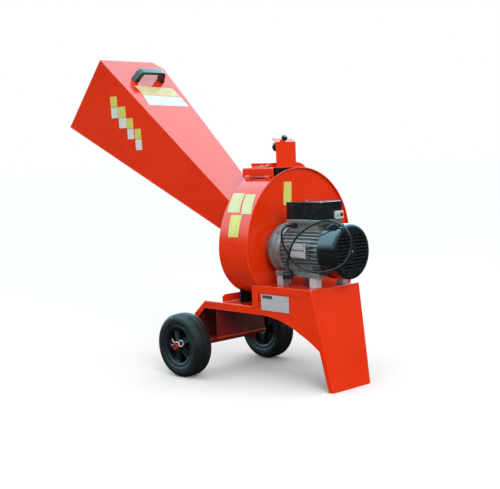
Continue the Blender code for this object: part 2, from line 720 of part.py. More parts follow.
def make_wheel(side, label):
    """Spoked rim and its tyre, both with their origin on the axle at the wheel's middle plane."""
    centre = (AXLE_X, side * WHEEL_TRACK / 2, WHEEL_RADIUS)
    bore = AXLE_RADIUS + RUNNING_CLEARANCE
    web_radius = RIM_RADIUS - 0.006
    windows = []
    half_spoke = 0.0055
    for i in range(SPOKES):
        middle = 2 * math.pi * (i + 0.5) / SPOKES
        outer = web_radius - 0.003
        inner = HUB_RADIUS + 0.003
        wide = math.pi / SPOKES - half_spoke / outer
        narrow = math.pi / SPOKES - half_spoke / inner
        window = arc((0.0, 0.0), outer, middle - wide, middle + wide, 4)
        window += arc((0.0, 0.0), inner, middle + narrow, middle - narrow, 2)
        windows.append(window)
    web = plate(circle(web_radius, 32), 0.010, "XZ", centre, [circle(bore, 20), *windows])
    half = RIM_WIDTH / 2
    flange = RIM_RADIUS - 0.004
    ring = turned([
        (web_radius - 0.002, -half), (RIM_RADIUS, -half), (RIM_RADIUS, half), (web_radius - 0.002, half),
        (web_radius - 0.002, 0.006), (flange - 0.006, 0.003), (flange - 0.006, -0.003),
        (web_radius - 0.002, -0.006),
    ], 32, "Y", centre)
    out = HUB_OUTER if side > 0 else HUB_INNER
    back = HUB_INNER if side > 0 else HUB_OUTER
    hub = turned([(bore, -back), (HUB_RADIUS, -back), (HUB_RADIUS, out), (bore, out)], 20, "Y", centre)
    add_part("wheel_rim_" + label, join(web, ring, hub), DARK_PLASTIC)
    add_part("tyre_" + label, turned(tyre_profile(), 32, "Y", centre), RUBBER)


def tyre_profile():
    """Tyre with a rounded wall, a nearly flat tread and two grooves round it."""
    half = TYRE_WIDTH / 2
    seat = RIM_RADIUS + GAP
    side = [
        (seat, half * 0.58), (seat + 0.008, half * 0.74), (WHEEL_RADIUS - 0.026, half * 0.97),
        (WHEEL_RADIUS - 0.013, half), (WHEEL_RADIUS - 0.004, half * 0.86), (WHEEL_RADIUS, half * 0.60),
        (WHEEL_RADIUS, half * 0.34), (WHEEL_RADIUS - 0.0035, half * 0.31), (WHEEL_RADIUS - 0.0035, half * 0.23),
        (WHEEL_RADIUS, half * 0.20),
    ]
    return side + [(r, -h) for r, h in reversed(side)]


def make_washer(side, label):
    start = side * WASHER_Y
    end = side * (WASHER_Y + WASHER_THICKNESS)
    bore = AXLE_RADIUS + GAP
    profile = [(bore, start), (WASHER_RADIUS, start), (WASHER_RADIUS, end), (bore, end)]
    add_part("washer_" + label, turned(profile, 24, "Y", (AXLE_X, 0.0, WHEEL_RADIUS)), ZINC)


def make_clip(side, label):
    """Spring clip: a level straight pin through the axle and a bowed leg that snaps over it."""
    y = side * CLIP_Y
    bow = AXLE_RADIUS + CLIP_WIRE + GAP
    pin_top = AXLE_RADIUS + 0.016
    pin_end = -AXLE_RADIUS - 0.009
    loop = 0.006
    path = [(0.0, pin_end), (0.0, pin_top)]
    path += arc((loop, pin_top), loop, math.pi, 0.0, 6)[1:]
    path += [(2 * loop, pin_top - 0.006), (bow * 0.86, AXLE_RADIUS * 0.86)]
    path += arc((0.0, 0.0), bow, math.radians(35), math.radians(-35), 5)
    path += [(bow * 0.72, -AXLE_RADIUS * 1.0), (bow * 0.98, -AXLE_RADIUS * 1.35)]
    points = [(AXLE_X + v, y, WHEEL_RADIUS + u) for u, v in path]
    add_part("spring_clip_" + label, mesh_from_curve(tube(points, CLIP_WIRE, 1)), ZINC)


# Drum

def scroll_radius(angle):
    """Outer radius of the band about the motor's axis, for an angle from +Y towards +Z."""
    if angle >= SCROLL_START:
        return CHAMBER_RADIUS
    if angle <= SCROLL_END:
        return CHAMBER_RADIUS + SCROLL_GROWTH
    t = ((SCROLL_START - angle) / (SCROLL_START - SCROLL_END)) ** SCROLL_EASE
    return CHAMBER_RADIUS + SCROLL_GROWTH * t * t * (3 - 2 * t)


def scroll_point(angle, outset=0.0):
    radius = scroll_radius(angle) + outset
    return radius * math.cos(angle), AXIS_Z + radius * math.sin(angle)


def scroll_angle(y, outset=0.0):
    """Angle at which the upper band, moved out by outset, has the given y."""
    low, high = math.radians(20), math.radians(160)
    for _ in range(50):
        middle = (low + high) / 2
        if scroll_point(middle, outset)[0] > y:
            low = middle
        else:
            high = middle
    return low


def scroll_height(y, outset=0.0):
    return scroll_point(scroll_angle(y, outset), outset)[1]


def band_path(inset):
    """Scroll and chamber from the outlet's outer edge round to the tongue, moved inwards."""
    bottom = AXIS_Z - OUTLET_DROP
    points = [(CHAMBER_RADIUS + SCROLL_GROWTH - inset, bottom)]
    scroll = [SCROLL_START * i / 40 for i in range(41)]
    points += [scroll_point(angle, -inset) for angle in scroll]
    return points


def chamber_arc(radius, end_angle):
    """Round part below the axis, from the left side to an angle on the right."""
    return arc((0.0, AXIS_Z), radius, math.pi, 2 * math.pi + end_angle, 30)[1:]


def drum_inside(inset, gap=0.0):
    """Outline of the drum's hollow, from the outlet's outer wall round to its inner wall."""
    radius = CHAMBER_RADIUS - inset
    tip = TONGUE_DROP - gap
    inner = OUTLET_INNER_Y + gap
    path = band_path(inset) + chamber_arc(radius, -math.asin(tip / radius))
    return path + [(inner, AXIS_Z - tip), (inner, AXIS_Z - OUTLET_DROP)]


def make_drum_shell():
    wall = OUTLET_INNER_Y - SHELL_SHEET
    outside = band_path(0.0) + chamber_arc(CHAMBER_RADIUS, -math.acos(wall / CHAMBER_RADIUS))
    outside.append((wall, AXIS_Z - OUTLET_DROP))
    outline = outside + drum_inside(SHELL_SHEET)[::-1]
    middle = (NEAR_LIP_X + FAR_LIP_X) / 2
    shell = plate(outline, DRUM_WIDTH, "YZ", (middle, 0.0, 0.0))
    cut(shell, block((FAR_LIP_X + WINDOW_INSET_FAR, WINDOW_Y[0], AXIS_Z + CHAMBER_RADIUS),
                     (NEAR_LIP_X - WINDOW_INSET_NEAR, WINDOW_Y[1], AXIS_Z + 2 * CHAMBER_RADIUS)))
    foot_z = scroll_height(HINGE_Y) - SHELL_SHEET / 2
    for x in KNUCKLES_X:
        ring = knuckle(x)
        web_top = hinge_z() - HINGE_PIN_RADIUS - 0.001
        web = block((x, HINGE_Y - 0.003, foot_z), (x + KNUCKLE_LENGTH, HINGE_Y + 0.003, web_top))
        join(shell, web, ring)
    return add_part("drum_shell", shell, RED)


def hinge_z():
    return scroll_height(HINGE_Y) + HINGE_RISE


def knuckle(x):
    bore = HINGE_PIN_RADIUS + GAP
    profile = [(bore, x), (HINGE_RADIUS, x), (HINGE_RADIUS, x + KNUCKLE_LENGTH), (bore, x + KNUCKLE_LENGTH)]
    return turned(profile, 20, "X", (0.0, HINGE_Y, hinge_z()))


def throat_opening():
    """Where the hopper feeds through the back plate, as a (y, z) rectangle inside the hopper's walls."""
    half = THROAT_HALF_WIDTH - PLATE_SHEET
    return [(-half, THROAT_BOTTOM_Z + PLATE_SHEET), (half, THROAT_BOTTOM_Z + PLATE_SHEET),
            (half, THROAT_TOP_Z - PLATE_SHEET), (-half, THROAT_TOP_Z - PLATE_SHEET)]


def make_drum_plates():
    outline = drum_inside(SHELL_SHEET + GAP, GAP)
    back = plate(outline, PLATE_SHEET, "YZ", (BACK_X + PLATE_SHEET / 2, 0.0, 0.0), [throat_opening()])
    add_part("drum_back_plate", back, RED)
    shaft = circle(SHAFT_HOLE, 32, (0.0, AXIS_Z))
    face = plate(outline, PLATE_SHEET, "YZ", (FACE_X - PLATE_SHEET / 2, 0.0, 0.0), [shaft])
    add_part("drum_face_plate", face, RED)


# Rotor

def make_rotor_disc():
    """Disc with its hub, blower vanes behind it and a chip slot beside each knife."""
    back = DISC_X + DISC_THICKNESS
    bore = SHAFT_RADIUS + GAP
    disc = turned([
        (bore, DISC_X), (DISC_RADIUS, DISC_X), (DISC_RADIUS, back), (ROTOR_HUB_RADIUS, back),
        (ROTOR_HUB_RADIUS, DISC_X + ROTOR_HUB_LENGTH), (bore, DISC_X + ROTOR_HUB_LENGTH),
    ], 36, "X", (0.0, 0.0, AXIS_Z))
    for i in range(VANES):
        vane = block((back - 0.001, -VANE_THICKNESS / 2, ROTOR_HUB_RADIUS - 0.003),
                     (back + VANE_DEPTH, VANE_THICKNESS / 2, VANE_RADIUS))
        turn = Matrix.Rotation(2 * math.pi * (i + 0.5) / VANES, 4, "X")
        vane.matrix_world = Matrix.Translation((0.0, 0.0, AXIS_Z)) @ turn @ Matrix.Translation(vane.location)
        join(disc, vane)
    for i in range(KNIVES):
        slot = block((DISC_X - 0.01, -KNIFE_WIDTH / 2 - SLOT_WIDTH, KNIFE_INNER_RADIUS),
                     (back + 0.01, -KNIFE_WIDTH / 2, KNIFE_INNER_RADIUS + KNIFE_LENGTH))
        turn = Matrix.Rotation(2 * math.pi * i / KNIVES, 4, "X")
        slot.matrix_world = Matrix.Translation((0.0, 0.0, AXIS_Z)) @ turn @ Matrix.Translation(slot.location)
        cut(disc, slot)
    return add_part("rotor_disc", disc, STEEL)


def make_knives():
    """Bevelled blades on the disc's cutting face, their edges over the chip slots."""
    face = DISC_X - GAP
    edge = -KNIFE_WIDTH / 2
    section = [
        (face, edge + KNIFE_EDGE), (face, KNIFE_WIDTH / 2), (face - KNIFE_THICKNESS, KNIFE_WIDTH / 2),
        (face - KNIFE_THICKNESS, edge), (face - KNIFE_THICKNESS + 0.001, edge),
    ]
    for i in range(KNIVES):
        knife = plate(section, KNIFE_LENGTH, "XY")
        turn = Matrix.Rotation(2 * math.pi * i / KNIVES, 4, "X")
        middle = KNIFE_INNER_RADIUS + KNIFE_LENGTH / 2
        knife.data.transform(Matrix.Translation((0.0, 0.0, middle)))
        knife.matrix_world = Matrix.Translation((0.0, 0.0, AXIS_Z)) @ turn
        add_part("knife_" + str(i + 1), knife, STEEL)


def make_counter_knife():
    """Fixed bar along the throat's edge that the disc runs towards."""
    start = BACK_X + PLATE_SHEET + GAP
    end = DISC_X - GAP - KNIFE_THICKNESS - CUTTING_CLEARANCE
    low_y = THROAT_HALF_WIDTH - PLATE_SHEET
    bar = block((start, low_y, THROAT_BOTTOM_Z), (end, low_y + COUNTER_KNIFE_WIDTH, THROAT_TOP_Z))
    return add_part("counter_knife", bar, STEEL)


def make_rotor_bolt():
    """Hexagon bolt and washer that hold the rotor on the shaft's end."""
    face = DISC_X - GAP
    head = face - 0.003
    profile = [
        (0.0, head - 0.005), (0.0085, head - 0.005), (0.0085, head), (0.018, head), (0.018, face),
        (SHAFT_BOLT_RADIUS, face), (SHAFT_BOLT_RADIUS, face + SHAFT_BOLT_LENGTH), (0.0, face + SHAFT_BOLT_LENGTH),
    ]
    return add_part("rotor_bolt", turned(profile, 12, "X", (0.0, 0.0, AXIS_Z)), ZINC)


# Motor

def make_shaft():
    """Motor shaft with the laminated core on it and a threaded end for the rotor bolt."""
    hole = SHAFT_BOLT_RADIUS + GAP
    depth = DISC_X + SHAFT_BOLT_LENGTH + 0.005
    core = STATOR_BORE - 0.0008
    core_start = HOUSING_X + CORE_MARGIN[0]
    core_end = HOUSING_END_X - CORE_MARGIN[1]
    tail = REAR_X + REAR_SHIELD
    profile = [
        (0.0, depth), (hole, depth), (hole, DISC_X), (SHAFT_RADIUS, DISC_X), (SHAFT_RADIUS, core_start),
        (core, core_start), (core, core_end), (SHAFT_RADIUS, core_end), (SHAFT_RADIUS, tail),
        (SHAFT_TAIL_RADIUS, tail), (SHAFT_TAIL_RADIUS, tail + SHAFT_TAIL), (0.0, tail + SHAFT_TAIL),
    ]
    return add_part("motor_shaft", turned(profile, 20, "X", (0.0, 0.0, AXIS_Z)), STEEL)


def make_motor_flange():
    """Neck, mounting flange and drive-end shield in one casting, with the front bearing's seat."""
    web = FLANGE_X + FLANGE_THICKNESS
    pocket = BEARING_RADIUS + GAP
    bore = SHAFT_RADIUS + 0.001
    skin = HOUSING_RADIUS
    profile = [
        (NECK_RADIUS - NECK_WALL, NECK_X), (NECK_RADIUS, NECK_X), (NECK_RADIUS, FLANGE_X),
        (FLANGE_RADIUS, FLANGE_X),
        (FLANGE_RADIUS, web), (skin + 0.0025, web + 0.003), (skin, SHIELD_END_X), (skin - 0.005, SHIELD_END_X),
        (skin - 0.005, web + 0.003), (BOSS_RADIUS, web + 0.003), (BOSS_RADIUS, FRONT_BEARING_X + BEARING_WIDTH),
        (pocket, FRONT_BEARING_X + BEARING_WIDTH), (pocket, FRONT_BEARING_X - GAP), (bore, FRONT_BEARING_X - GAP),
        (bore, FLANGE_X), (NECK_RADIUS - NECK_WALL, FLANGE_X),
    ]
    return add_part("motor_flange", turned(profile, 36, "X", (0.0, 0.0, AXIS_Z)), ALUMINIUM)


def fin_outline():
    """Cross-section of the housing with its cooling fins."""
    outline = []
    for i in range(FINS):
        middle = 2 * math.pi * (i + 0.5) / FINS
        root = FIN_THICKNESS / 2 / HOUSING_ROOT
        tip = FIN_THICKNESS / 2 / HOUSING_RADIUS * 0.8
        corners = ((-root, HOUSING_ROOT), (-tip, HOUSING_RADIUS), (tip, HOUSING_RADIUS), (root, HOUSING_ROOT))
        for angle, radius in corners:
            outline.append((radius * math.cos(middle + angle), AXIS_Z + radius * math.sin(middle + angle)))
    return outline


def make_motor_housing():
    """Finned tube with the terminal box's pad on top and a foot pad low on each side."""
    middle = (HOUSING_X + HOUSING_END_X) / 2
    bore = circle(HOUSING_BORE, 36, (0.0, AXIS_Z))
    housing = plate(fin_outline(), HOUSING_LENGTH, "YZ", (middle, 0.0, 0.0), [bore])
    pad_bottom = AXIS_Z + HOUSING_BORE + 0.003
    join(housing, block((PAD_X[0], -PAD_HALF_WIDTH, pad_bottom), (PAD_X[1], PAD_HALF_WIDTH, PAD_Z)))
    start = BOLT_X[0] + HOUSING_FOOT_MARGIN
    end = BOLT_X[1] - HOUSING_FOOT_MARGIN
    for side in (-1, 1):
        near, far = sorted(side * y for y in HOUSING_FOOT_Y)
        join(housing, block((start, near, FOOT_Z), (end, far, AXIS_Z - HOUSING_FOOT_TOP)))
    return add_part("motor_housing", housing, ALUMINIUM)


def make_rear_shield():
    pocket = BEARING_RADIUS + GAP
    bore = SHAFT_RADIUS + 0.001
    end = REAR_X + REAR_SHIELD
    rim = FAN_COVER_RADIUS - FAN_COVER_WALL - GAP
    boss = REAR_BEARING_X - 0.002
    profile = [
        (bore, end), (rim, end), (rim, REAR_X), (BOSS_RADIUS, REAR_X), (BOSS_RADIUS, boss),
        (pocket, boss), (pocket, REAR_X), (bore, REAR_X),
    ]
    return add_part("motor_rear_shield", turned(profile, 36, "X", (0.0, 0.0, AXIS_Z)), ALUMINIUM)


def make_bearing(name, start):
    bore = SHAFT_RADIUS + GAP
    end = start + BEARING_WIDTH
    profile = [(bore, start), (BEARING_RADIUS, start), (BEARING_RADIUS, end), (bore, end)]
    return add_part(name, turned(profile, 20, "X", (0.0, 0.0, AXIS_Z)), STEEL)


def make_stator():
    """Laminated ring with its end windings."""
    start = HOUSING_X + CORE_MARGIN[0]
    end = HOUSING_END_X - CORE_MARGIN[1]
    outer = HOUSING_BORE - GAP
    ring = STATOR_BORE + 0.0045
    rim = outer - 0.006
    profile = [
        (STATOR_BORE, start), (STATOR_BORE, end), (ring, end), (ring, end + WINDING), (rim, end + WINDING),
        (rim, end), (outer, end), (outer, start), (rim, start), (rim, start - WINDING), (ring, start - WINDING),
        (ring, start),
    ]
    return add_part("stator", turned(profile, 20, "X", (0.0, 0.0, AXIS_Z)), COPPER)


def make_cooling_fan():
    """Radial fan on the shaft's tail."""
    start = REAR_X + REAR_SHIELD + 0.007
    end = REAR_X + REAR_SHIELD + SHAFT_TAIL
    bore = SHAFT_TAIL_RADIUS + GAP
    disc = start + 0.003
    fan = turned([
        (bore, start), (FAN_RADIUS - 0.012, start), (FAN_RADIUS - 0.012, disc), (0.020, disc), (0.018, end),
        (bore, end),
    ], 20, "X", (0.0, 0.0, AXIS_Z))
    for i in range(FAN_BLADES):
        blade = block((start + 0.001, -0.0015, 0.016), (end - 0.003, 0.0015, FAN_RADIUS))
        turn = Matrix.Rotation(2 * math.pi * i / FAN_BLADES, 4, "X")
        blade.matrix_world = Matrix.Translation((0.0, 0.0, AXIS_Z)) @ turn @ Matrix.Translation(blade.location)
        join(fan, blade)
    return add_part("cooling_fan", fan, DARK_PLASTIC)


def make_fan_cover():
    """Pressed cover with a rounded edge and rows of air slots in its end."""
    end = REAR_X + FAN_COVER_LENGTH
    edge = FAN_COVER_EDGE
    outer = [(math.sin(a) * edge + FAN_COVER_RADIUS - edge, math.cos(a) * edge + end - edge)
             for a in (math.pi / 2 * i / 4 for i in range(5))]
    small = edge - FAN_COVER_WALL
    inner = [(math.sin(a) * small + FAN_COVER_RADIUS - edge, math.cos(a) * small + end - edge)
             for a in (math.pi / 2 * (1 - i / 3) for i in range(4))]
    profile = [(0.0, end)] + outer + [(FAN_COVER_RADIUS, REAR_X), (FAN_COVER_RADIUS - FAN_COVER_WALL, REAR_X)]
    profile += inner + [(0.0, end - FAN_COVER_WALL)]
    cover = turned(profile, 36, "X", (0.0, 0.0, AXIS_Z))
    slots = []
    for row in range(GRILLE_ROWS):
        z = (row - (GRILLE_ROWS - 1) / 2) * GRILLE_PITCH
        far = math.sqrt(GRILLE_RADIUS ** 2 - z ** 2)
        near = math.sqrt(max(GRILLE_HUB ** 2 - z ** 2, 0.004 ** 2))
        for side in (-1, 1):
            low, high = sorted((side * near, side * far))
            bottom = AXIS_Z + z - GRILLE_SLOT / 2
            slots.append(((end - 0.012, low, bottom), (end + 0.010, high, bottom + GRILLE_SLOT)))
    cut(cover, blocks(slots))
    return add_part("fan_cover", cover, DARK_PLASTIC)


def make_feet():
    """Rails under the motor, with spacer blocks and through bolts to the platform."""
    rail_middle = (RAIL_X[0] + RAIL_X[1]) / 2
    for side, label in ((-1, "left"), (1, "right")):
        inner, outer = RAIL_Y
        rib = outer - RAIL_RIB_WIDTH
        outline = [
            (inner, RAIL_BOTTOM), (outer, RAIL_BOTTOM), (outer, RAIL_TOP + RAIL_RIB), (rib, RAIL_TOP + RAIL_RIB),
            (rib, RAIL_TOP), (inner, RAIL_TOP),
        ]
        outline = [(side * y, z) for y, z in outline]
        rail = plate(outline, RAIL_X[1] - RAIL_X[0], "YZ", (rail_middle, 0.0, 0.0))
        for x, y in bolt_places():
            if y * side > 0:
                cut(rail, rod(BOLT_RADIUS + GAP, (x, y, RAIL_BOTTOM - 0.01), (x, y, RAIL_TOP + 0.01), 16))
        add_part("foot_rail_" + label, rail, ALUMINIUM)
    half = SPACER_SIZE / 2
    low, high = PLATFORM_Z + GAP, RAIL_BOTTOM - GAP
    nut_top = PLATFORM_Z - FRAME_SHEET - GAP
    for number, (x, y) in enumerate(bolt_places(), 1):
        hole = circle(BOLT_RADIUS + GAP, 16)
        square = [(-half, -half), (half, -half), (half, half), (-half, half)]
        spacer = plate(square, high - low, "XY", (x, y, (low + high) / 2), [hole])
        add_part("spacer_" + str(number), spacer, ALUMINIUM)
        head = RAIL_TOP + GAP
        profile = [
            (0.0, head + BOLT_HEAD_HEIGHT), (BOLT_HEAD_RADIUS, head + BOLT_HEAD_HEIGHT), (BOLT_HEAD_RADIUS, head),
            (BOLT_RADIUS, head), (BOLT_RADIUS, nut_top), (BOLT_HEAD_RADIUS, nut_top),
            (BOLT_HEAD_RADIUS, nut_top - BOLT_HEAD_HEIGHT), (0.0, nut_top - BOLT_HEAD_HEIGHT),
        ]
        add_part("foot_bolt_" + str(number), turned(profile, 6, "Z", (x, y, 0.0)), ZINC)


def make_terminal_box():
    low = (BOX_X[0], -BOX_HALF_WIDTH, BOX_Z)
    high = (BOX_X[1], BOX_HALF_WIDTH, BOX_TOP)
    base = block(low, high)
    inner_low = [v + BOX_WALL for v in low]
    inner_high = (high[0] - BOX_WALL, high[1] - BOX_WALL, high[2] + 0.01)
    cut(base, block(inner_low, inner_high))
    add_part("terminal_box", base, DARK_PLASTIC)
    over = BOX_LID_OVERHANG
    lid_low = (BOX_X[0] - over, -BOX_HALF_WIDTH - over, BOX_TOP + GAP)
    lid_high = (BOX_X[1] + over, BOX_HALF_WIDTH + over, BOX_TOP + GAP + BOX_LID_HEIGHT)
    outline = rounded_rectangle(lid_low[:2], lid_high[:2], 0.007)
    lid = plate(outline, BOX_LID_HEIGHT, "XY", (0.0, 0.0, (lid_low[2] + lid_high[2]) / 2))
    hollow_high = (high[0] - BOX_WALL, high[1] - BOX_WALL, lid_high[2] - BOX_WALL)
    cut(lid, block((inner_low[0], inner_low[1], lid_low[2] - 0.01), hollow_high))
    add_part("terminal_box_lid", lid, DARK_PLASTIC)


def make_switch():
    """Switch block on the box's end with a start and a stop button in round pockets."""
    thickness, width, height = SWITCH_SIZE
    start = BOX_X[1] + GAP
    z = BOX_Z + SWITCH_RISE
    low = (SWITCH_Y - width / 2, z - height / 2)
    outline = rounded_rectangle(low, (low[0] + width, low[1] + height), 0.004)
    places = [(SWITCH_Y + side * BUTTON_PITCH / 2, z) for side in (-1, 1)]
    holes = [circle(BUTTON_RADIUS + GAP, 24, place) for place in places]
    housing = plate(outline, thickness, "YZ", (start + thickness / 2, 0.0, 0.0), holes)
    add_part("switch_housing", housing, GREY_PLASTIC)
    for (y, height_z), name, look in zip(places, ("start_button", "stop_button"), (GREEN_PLASTIC, RED_PLASTIC)):
        back = start + BUTTON_BACK
        front = back + BUTTON_LENGTH
        rim = BUTTON_RADIUS - 0.001
        profile = [(0.0, back), (BUTTON_RADIUS, back), (BUTTON_RADIUS, front - 0.001), (rim, front), (0.0, front)]
        add_part(name, turned(profile, 24, "X", (0.0, y, height_z)), look)


def make_gland():
    """Cable gland on the left face of the motor's pad: nut, dome and tip."""
    face = -PAD_HALF_WIDTH - GAP
    nut = face - GLAND_NUT_LENGTH
    tip = face - GLAND_LENGTH + GAP
    profile = [
        (0.0, face), (GLAND_NUT_RADIUS, face), (GLAND_NUT_RADIUS, nut), (GLAND_DOME_RADIUS, nut - 0.001),
        (GLAND_DOME_RADIUS, tip + 0.008), (GLAND_TIP_RADIUS, tip), (0.0, tip),
    ]
    return add_part("cable_gland", turned(profile, 12, "Y", (GLAND_X, 0.0, GLAND_Z)), DARK_PLASTIC)


# Cord and plug

def smooth_route(points, count):
    """Evenly spaced points on a smooth curve through the given ones."""
    route = [Vector(point) for point in points]
    ends = [2 * route[0] - route[1]] + route + [2 * route[-1] - route[-2]]
    fine = []
    for i in range(len(route) - 1):
        before, a, b, after = ends[i:i + 4]
        for step in range(12):
            t = step / 12
            fine.append(0.5 * (2 * a + (b - before) * t + (2 * before - 5 * a + 4 * b - after) * t * t
                               + (3 * a - before - 3 * b + after) * t ** 3))
    fine.append(route[-1])
    reach = [0.0]
    for a, b in zip(fine, fine[1:]):
        reach.append(reach[-1] + (b - a).length)
    even = []
    place = 0
    for i in range(count):
        target = reach[-1] * i / (count - 1)
        while place < len(fine) - 2 and reach[place + 1] < target:
            place += 1
        share = (target - reach[place]) / (reach[place + 1] - reach[place])
        even.append(fine[place].lerp(fine[place + 1], share))
    return even


def cord_places():
    """The cord's route in the machine's frame."""
    stretch = (HOUSING_END_X - GLAND_X) / CORD_REACH
    return [(GLAND_X + x * stretch, y, AXIS_Z + rise) for x, y, rise in CORD_ROUTE]


def make_cord():
    route = smooth_route(cord_places(), CORD_POINTS)
    return add_part("power_cord", mesh_from_curve(tube(route, CORD_RADIUS, 2)), RUBBER)


def make_plug():
    """Two-pin plug that hangs on the cord's end."""
    x, y, top = cord_places()[-1]
    top -= GAP
    shoulder = top - 0.018
    bottom = shoulder - 0.028
    plug = turned([
        (0.0, top), (PLUG_NECK_RADIUS, top), (PLUG_NECK_RADIUS + 0.003, shoulder + 0.003),
        (PLUG_RADIUS - 0.004, shoulder), (PLUG_RADIUS, shoulder - 0.004), (PLUG_RADIUS, bottom), (0.0, bottom),
    ], 24, "Z", (x, y, 0.0))
    for side in (-1, 1):
        px = x + side * PLUG_PIN_PITCH / 2
        join(plug, rod(PLUG_PIN_RADIUS, (px, y, bottom - PLUG_PIN_LENGTH), (px, y, bottom + 0.004), 12))
    return add_part("plug", plug, DARK_PLASTIC)


# Hopper

def hopper_side(inset):
    """Side outline of the hopper moved inwards: mouth top, mouth bottom, throat bottom, throat top."""
    throat_x = HOPPER_END_X
    top = [MOUTH_TOP, (throat_x, THROAT_TOP_Z)]
    bottom = [(throat_x, THROAT_BOTTOM_Z), MOUTH_BOTTOM]
    if inset:
        top = offset_path(top, inset)
        bottom = offset_path(bottom, inset)
    return top, bottom


def hopper_half_width(x, z):
    """Half width of the hopper, which narrows evenly from the mouth's plane to the throat."""
    mouth = Vector(MOUTH_TOP)
    across = (Vector(MOUTH_BOTTOM) - mouth).normalized()
    feed = Vector((-across.y, across.x))
    throat = Vector((HOPPER_END_X, (THROAT_TOP_Z + THROAT_BOTTOM_Z) / 2))
    full = (throat - mouth).dot(feed)
    share = (Vector((x, z)) - mouth).dot(feed) / full
    return MOUTH_HALF_WIDTH + (THROAT_HALF_WIDTH - MOUTH_HALF_WIDTH) * share


def draw_in(solid, wall):
    """Moves a hopper blank's sides to its tapering half width, less a wall."""
    for vert in solid.data.vertices:
        place = solid.matrix_world @ vert.co
        half = hopper_half_width(place.x, place.z) - wall
        place.y = math.copysign(half, place.y)
        vert.co = place
    solid.matrix_world = Matrix.Identity(4)
    return solid


def stretched(path, before, after):
    """Two-point path made longer at each end."""
    a, b = Vector(path[0]), Vector(path[1])
    along = (b - a).normalized()
    return [tuple(a - along * before), tuple(b + along * after)]


def make_hopper():
    """Tapered square chute with a flange at the drum and one clipped corner at its mouth."""
    top, bottom = hopper_side(0.0)
    chute = draw_in(plate(top + bottom, MOUTH_HALF_WIDTH, "XZ"), 0.0)
    top, bottom = hopper_side(PLATE_SHEET)
    spare = 0.05
    inner = stretched(top, spare, spare) + stretched(bottom, spare, spare)
    hollow = draw_in(plate(inner, MOUTH_HALF_WIDTH, "XZ"), PLATE_SHEET)
    rim = HOPPER_FLANGE
    wide = THROAT_HALF_WIDTH + rim
    flange = block((HOPPER_END_X - HOPPER_FLANGE_THICKNESS, -wide, THROAT_BOTTOM_Z - rim),
                   (HOPPER_END_X, wide, THROAT_TOP_Z + rim))
    join(chute, flange)
    cut(chute, hollow, mouth_corner())
    return add_part("hopper", chute, RED)


def mouth_corner():
    """Wedge that clips the mouth's upper right corner."""
    corner = Vector((MOUTH_TOP[0], MOUTH_HALF_WIDTH, MOUTH_TOP[1]))
    along = (Vector((HOPPER_END_X, THROAT_HALF_WIDTH, THROAT_TOP_Z)) - corner).normalized()
    down = (Vector((MOUTH_BOTTOM[0], MOUTH_HALF_WIDTH, MOUTH_BOTTOM[1])) - corner).normalized()
    a = corner + along * MOUTH_CLIP * 1.2
    b = corner + Vector((0.0, -MOUTH_CLIP, 0.0))
    c = corner + down * MOUTH_CLIP * 0.6
    normal = (b - a).cross(c - a).normalized()
    if normal.dot(corner - a) < 0.0:
        normal = -normal
    reach = 2 * MOUTH_CLIP
    solid = block((-reach, -reach, 0.0), (reach, reach, reach))
    turn = normal.to_track_quat("Z", "Y").to_matrix().to_4x4()
    solid.matrix_world = Matrix.Translation((a + b + c) / 3) @ turn @ Matrix.Translation(solid.location)
    return solid


def panel_point(down, out):
    """Point on the top panel's outside as (x, z): down from the mouth's edge and out from the sheet."""
    start = Vector(MOUTH_TOP)
    along = (Vector((HOPPER_END_X, THROAT_TOP_Z)) - start).normalized()
    normal = Vector((-along.y, along.x))
    return start + along * down + normal * out


def bridge(half_span, height, radius):
    """Outline of an arch with leaning legs and round corners, from its left foot to its right."""
    lean = HANDLE_LEAN
    rise = height - radius
    corner = half_span - (radius + rise * math.sin(lean)) / math.cos(lean)
    left = arc((-corner, rise), radius, math.pi - lean, math.pi / 2, 5)
    right = arc((corner, rise), radius, math.pi / 2, lean, 5)
    return [(-half_span, GAP)] + left + right + [(half_span, GAP)]


def make_handle():
    """Moulded bridge handle across the top panel, its legs leaning in towards the bar."""
    outer = bridge(HANDLE_HALF_SPAN, HANDLE_HEIGHT, HANDLE_BEND)
    inner = bridge(HANDLE_HALF_SPAN - HANDLE_LEG, HANDLE_HEIGHT - HANDLE_BAR, HANDLE_BEND - HANDLE_BAR)
    grip = plate(outer + inner[::-1], HANDLE_WIDTH)
    seat = panel_point(HANDLE_DOWN, 0.0)
    out = panel_point(HANDLE_DOWN, 1.0) - seat
    across = Vector((0.0, 1.0, 0.0))
    normal = Vector((out.x, 0.0, out.y))
    turn = Matrix((across, normal, across.cross(normal))).transposed().to_4x4()
    grip.matrix_world = Matrix.Translation((seat.x, HANDLE_Y, seat.y)) @ turn
    return add_part("hopper_handle", bevel(grip, HANDLE_EDGE), DARK_PLASTIC)


def flap_pin_z():
    top, _ = hopper_side(PLATE_SHEET)
    (ax, az), (bx, bz) = top
    return az + (FLAP_X - ax) * (bz - az) / (bx - ax) - FLAP_PIN_DROP


def make_flap():
    """Rubber curtain that hangs from a pin inside the hopper."""
    z = flap_pin_z()
    half = hopper_half_width(FLAP_X, z) - PLATE_SHEET - 2 * GAP
    pin = rod(FLAP_PIN_RADIUS, (FLAP_X, -half, z), (FLAP_X, half, z), 16)
    add_part("flap_pin", pin, ZINC)
    bore = FLAP_PIN_RADIUS + GAP
    wide = FLAP_HALF_WIDTH
    profile = [(bore, -wide), (FLAP_EYE_RADIUS, -wide), (FLAP_EYE_RADIUS, wide), (bore, wide)]
    eye = turned(profile, 16, "Y", (FLAP_X, 0.0, z))
    low = (FLAP_X - FLAP_THICKNESS / 2, -wide, z - FLAP_LENGTH)
    high = (FLAP_X + FLAP_THICKNESS / 2, wide, z - bore - 0.001)
    join(eye, block(low, high))
    return add_part("feed_flap", eye, RUBBER)


